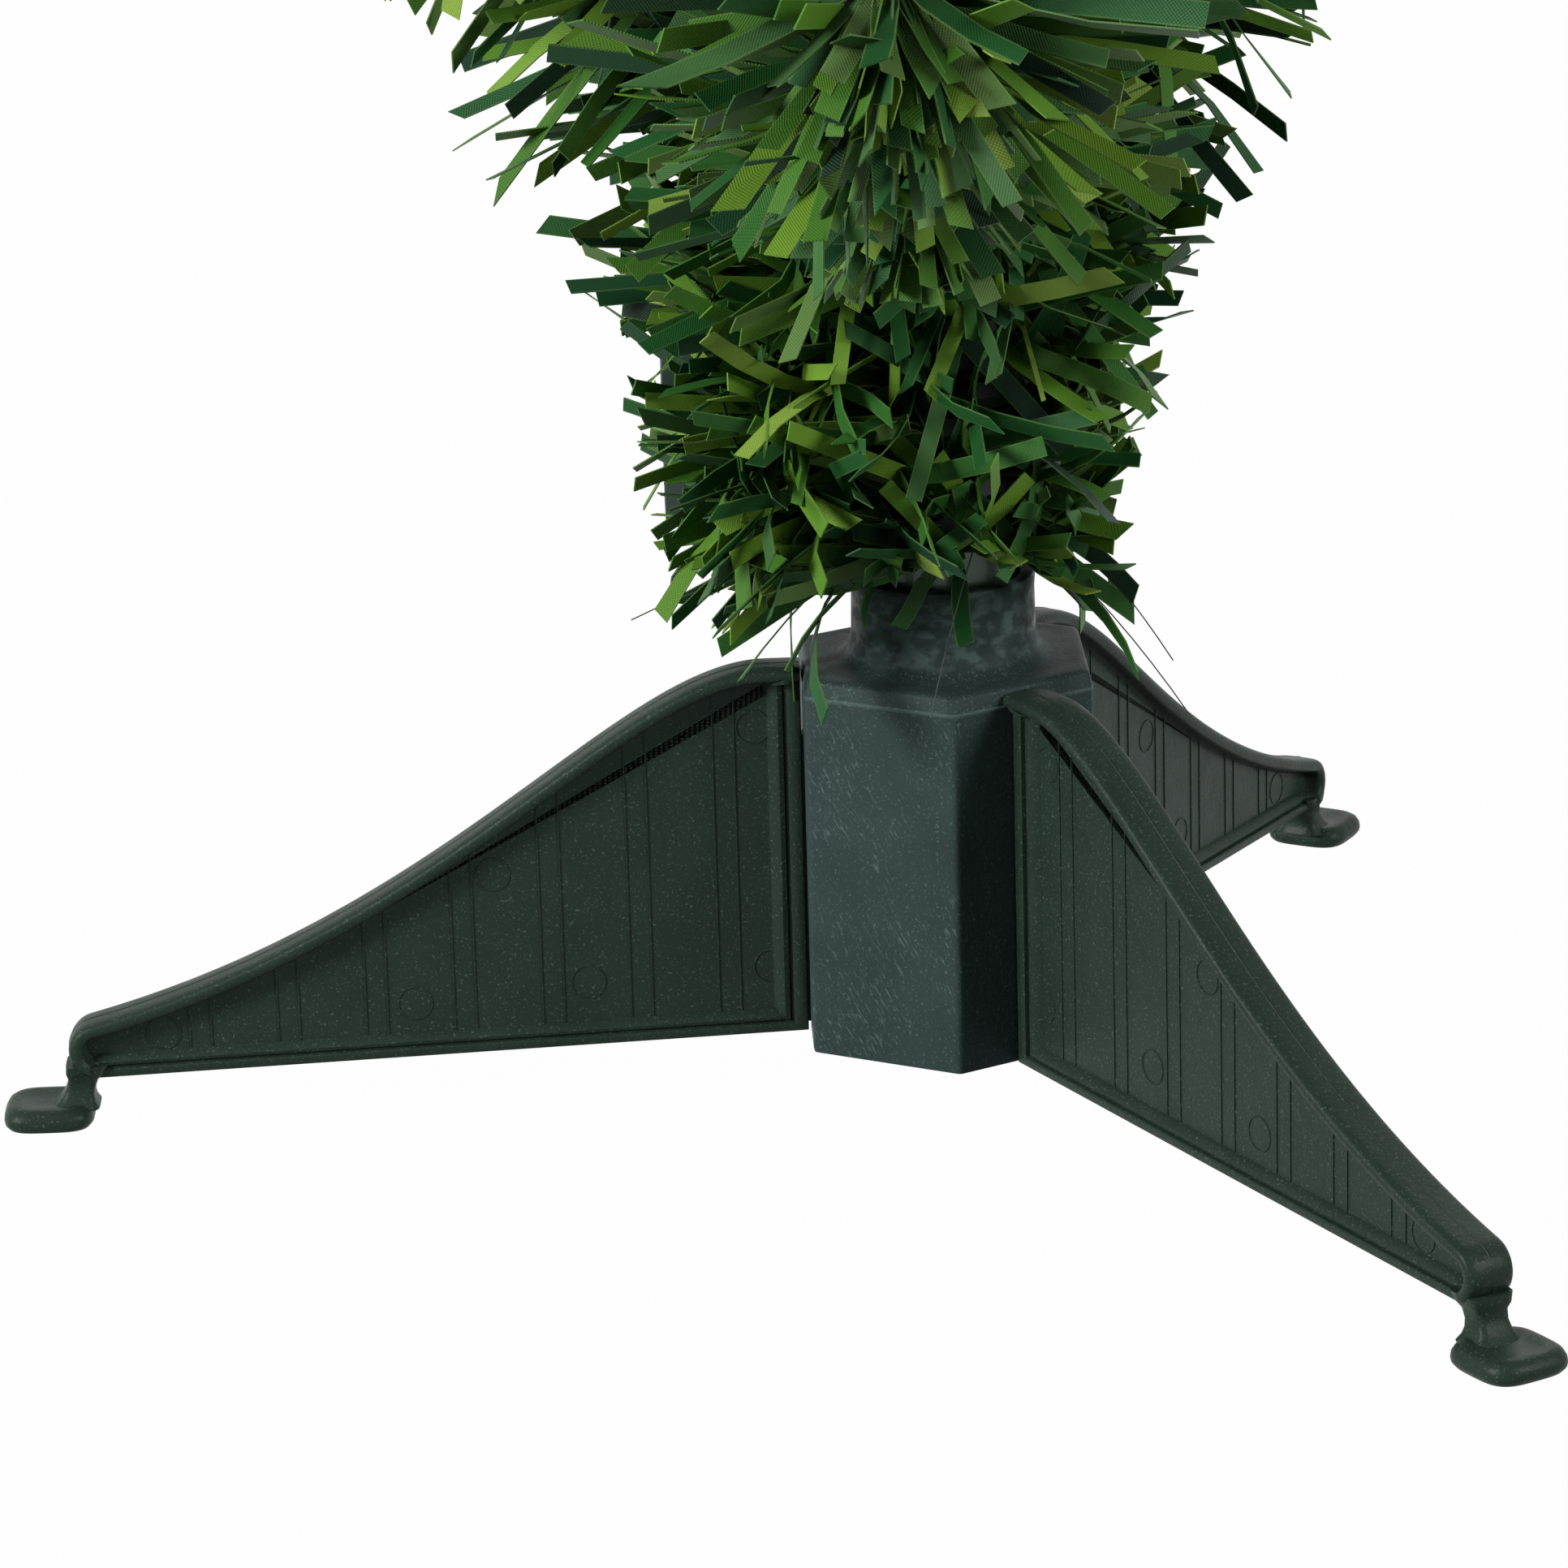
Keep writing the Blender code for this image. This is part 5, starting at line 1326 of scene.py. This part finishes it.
def make_trunk_lead():
    """Two sleeved wires twisted round each other up the trunk and the leader, and their bulbs.
    Each wire's centre circles the route by one turn in every pitch of its length."""
    turn = math.radians(LEAD_AZIMUTH)
    out = np.array([math.cos(turn), math.sin(turn), 0.0])
    rise = joint_place("branch_01")[2] - BOX_TOP
    places = ((LEAD_EXIT_RADIUS, BOX_TOP + NEEDLE_THICKNESS), (LEAD_EXIT_RADIUS, BOX_TOP + rise),
              (LEAD_TRUNK_RADIUS, BOX_TOP + 4 * rise),
              (LEAD_TRUNK_RADIUS, (BOX_TOP + POLE_TOP) / 2), (LEAD_TRUNK_RADIUS, PLUG_FOOT),
              (LEAD_TRUNK_RADIUS, CROWN_FOOT),
              (LEAD_CROWN_RADIUS, CROWN_FOOT + POLE_TOP - PLUG_FOOT),
              (LEAD_CROWN_RADIUS, CROWN_TOP - LEAD_END_GAP))
    route = smooth_route([out * radius + (0, 0, height) for radius, height in places], 40)
    tangent = unit(np.gradient(route, axis=0))
    first = unit(np.cross(tangent, out))
    second = np.cross(tangent, first)
    run = np.concatenate([[0], np.cumsum(np.linalg.norm(np.diff(route, axis=0), axis=1))])
    lead, lenses = Shape(), Shape()
    add_twist(lead, route, run / LEAD_TWIST, (first, second), LEAD_RADIUS * 0.9, LEAD_RADIUS, 8)
    for share in (0.30, 0.55, 0.80):
        height = CROWN_FOOT + share * (CROWN_TOP - CROWN_FOOT)
        bulb_shapes(lead, lenses, out * LEAD_CROWN_RADIUS + (0, 0, height), out + (0, 0, 0.6))
    install("trunk_lead", lead, "lead", "trunk", "light_lead", "trunk_light_string")
    install("crown_bulbs", lenses, "bulb", "trunk", "light_lead")


def make_plug():
    """The stopper in the tube's mouth, a turned shape with a bore for the leader's wire."""
    edge = PLUG_EDGE
    rows = [(PLUG_INNER - 4 * edge, PLUG_FOOT), (PLUG_INNER - edge, PLUG_FOOT + 2 * edge),
            (PLUG_INNER, PLUG_FOOT + 5 * edge), (PLUG_INNER, POLE_TOP),
            (PLUG_INNER, POLE_TOP + 1.7 * edge), (PLUG_HEAD - edge, POLE_TOP + 1.7 * edge),
            (PLUG_HEAD, POLE_TOP + 3 * edge), (PLUG_HEAD - 2 * edge, POLE_TOP + 7 * edge),
            (POLE_RADIUS + 3 * edge, CROWN_FOOT - 4 * edge), (POLE_RADIUS, CROWN_FOOT - edge),
            (POLE_RADIUS - 3 * edge, CROWN_FOOT), (PLUG_BORE + edge, CROWN_FOOT),
            (PLUG_BORE, CROWN_FOOT - edge), (PLUG_BORE, PLUG_BORE_FOOT)]
    install("tube_plug", Shape().add(*turned(rows, 48)), "box", "trunk", "green_plastic",
            "top_plug")


def softened(node):
    """A copy of the node's mesh, its faces welded and its sharp edges rounded."""
    mesh = frame["nodes"][node].data.copy()
    weld_mesh(mesh, WELD)
    item = new_object("soft", mesh)
    bevel = item.modifiers.new("round", "BEVEL")
    bevel.width = SOFT_EDGE
    bevel.segments = 3
    bevel.limit_method = "ANGLE"
    bevel.angle_limit = math.radians(SOFT_DEGREES)
    return applied(item, SOFT_DEGREES)


def make_cells():
    """Each cell's jacket, steel ends and nub: a profile turned about the cell's own length."""
    for node, side in (("battery_cell_upper", 1), ("battery_cell_lower", -1)):
        low, high = corners_of(node)
        span = high[0] - low[0]
        middle = (low + high) / 2
        middle[0] -= side * span / 2
        table = placing((0, 0, -side), (0, 1, 0), (side, 0, 0), middle)
        nub = span - CELL_NUB_RISE
        jacket = [(CELL_RADIUS - inset * CELL_ROUND, rise * CELL_ROUND)
                  for inset, rise in ((1, 1 / 3), (1 / 4, 1 / 2), (0, 1.4))]
        jacket += [(radius, nub - rise) for radius, rise in jacket[::-1]]
        ends = [(CELL_RADIUS - 2 * CELL_ROUND, 0), (CELL_RADIUS - CELL_ROUND * 1.1, CELL_ROUND / 4),
                (CELL_RADIUS - CELL_ROUND * 1.1, nub - CELL_ROUND / 4),
                (CELL_RADIUS - 2 * CELL_ROUND, nub), (CELL_NUB, nub),
                (CELL_NUB, span - CELL_ROUND / 2), (CELL_NUB - CELL_ROUND / 2, span)]
        for part, rows, stock in (("jacket", jacket, "cell"), ("ends", ends, "steel")):
            name = f"{node}_{part}"
            shape = Shape().add(*turned(rows, 40)).moved(table)
            install(name, shape, stock, "trunk", "cell_jacket",
                    *([node] if part == "jacket" else []))


def make_box():
    for node, body, stock in (("battery_case", "trunk", "box"),
                              ("battery_cover", "battery_cover", "box"),
                              ("battery_switch", "battery_switch", "switch")):
        install(node + "_shell", softened(node), stock, body, stock + "_plastic", node)
    low, high = corners_of("battery_switch")
    knob = Shape()
    reach = (high[1] - low[1]) / 6
    middle = (low + high) / 2
    for k in (-1, 0, 1):
        start = np.array([high[0], middle[1] - reach, middle[2] + 2 * k * RIDGE_RADIUS])
        knob.add(*tube(np.linspace(start, start + (0, 2 * reach, 0), 4), RIDGE_RADIUS / 2, 8))
    install("switch_ridges", knob, "switch", "battery_switch", "switch_plastic")


# Camera, floor and light

FLOOR_REACH = 30.0
FLOOR_WHITENESS = 0.985
AMBIENT = 0.10
# Place, aim, width and watts of each lamp
LAMPS = (("key", (-1.76, -0.96, 1.00), (0, 0, 0.13), 0.8, 60.0),
         ("fill", (1.72, -1.02, 1.00), (0, 0, 0.13), 1.0, 30.0),
         ("back", (0.3, 1.9, 1.75), (0, 0, 0.3), 1.2, 9.0))


def make_camera():
    a, e, r = (math.radians(v) for v in (VIEW_AZIMUTH, VIEW_ELEVATION, VIEW_ROLL))
    back = np.array([math.cos(e) * math.cos(a), math.cos(e) * math.sin(a), math.sin(e)])
    level = np.array([-math.sin(a), math.cos(a), 0.0])
    upright = np.cross(back, level)
    right, up = swung(r, level, upright), swung(r, upright, -level)
    target = VIEW_TARGET_SIDE * level + np.array([0.0, 0.0, VIEW_TARGET_HEIGHT])
    data = bpy.data.cameras.new("camera")
    data.sensor_width = SENSOR_MM
    data.lens = FOCAL_PIXELS * SENSOR_MM / PHOTO_PIXELS
    camera = new_object("camera", data)
    camera.matrix_world = Matrix(placing(right, up, back, target + VIEW_DISTANCE * back).tolist())
    bpy.context.scene.camera = camera


def area_light(name, place, aim, size, power):
    data = bpy.data.lights.new(name, "AREA")
    data.shape = "DISK"
    data.size = size
    data.energy = power
    lamp = new_object(name, data)
    back = unit(np.array(place, float) - np.array(aim, float))
    right = unit(np.cross((0, 0, 1), back))
    lamp.matrix_world = Matrix(placing(right, np.cross(back, right), back, place).tolist())


def fed(tree, kind, sources, operation=None):
    """A new node with these sockets joined to its first inputs."""
    node = tree.nodes.new(kind)
    if operation:
        node.operation = operation
    for number, source in enumerate(sources):
        tree.links.new(source, node.inputs[number])
    return node


def seen_white(tree, lit, output, share=1.0):
    """Join this share of a white glow over a shader, for the rays of the camera, mirrors and
    glass."""
    rays = tree.nodes.new("ShaderNodeLightPath").outputs
    either = fed(tree, "ShaderNodeMath", (rays["Is Camera Ray"], rays["Is Glossy Ray"]),
                 "MAXIMUM")
    any_of = fed(tree, "ShaderNodeMath", (either.outputs[0], rays["Is Transmission Ray"]),
                 "MAXIMUM")
    partly = fed(tree, "ShaderNodeMath", any_of.outputs[:1], "MULTIPLY")
    partly.inputs[1].default_value = share
    glow = tree.nodes.new("ShaderNodeEmission")
    blend = fed(tree, "ShaderNodeMixShader",
                (partly.outputs[0], lit.outputs[0], glow.outputs[0]))
    tree.links.new(blend.outputs[0], output.inputs[0])


def make_studio():
    """A wide pale floor that shows white to the camera with a trace of shadow, a white world
    behind it, and three soft lamps."""
    mesh = bpy.data.meshes.new("floor")
    corners = [(x * FLOOR_REACH, y * FLOOR_REACH, 0)
               for x, y in ((-1, -1), (1, -1), (1, 1), (-1, 1))]
    mesh.from_pydata(corners, [], [(0, 1, 2, 3)])
    floor = new_object("floor", mesh)
    floor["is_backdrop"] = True
    pale = Finish("pale_floor", (0.22, 0.22, 0.22, 1.0), 0.9, Specular_IOR_Level=0.0)
    seen_white(pale.tree, pale.shader, pale.tree.nodes["Material Output"], FLOOR_WHITENESS)
    mesh.materials.append(pale.material)
    world = bpy.data.worlds.new("studio")
    bpy.context.scene.world = world
    world.use_nodes = True
    tree = world.node_tree
    soft = tree.nodes["Background"]
    soft.inputs[0].default_value = (1, 1, 1, 1)
    soft.inputs[1].default_value = AMBIENT
    seen_white(tree, soft, tree.nodes["World Output"])
    for name, place, aim, size, power in LAMPS:
        area_light(name, place, aim, size, power)
    bpy.context.scene.view_settings.view_transform = "Standard"


make_camera()
make_studio()
make_stock()
make_hub()
make_legs()
make_trunk()
make_crown()
for branch in range(1, 16):
    make_branch(branch)
make_trunk_lead()
make_plug()
make_cells()
make_box()
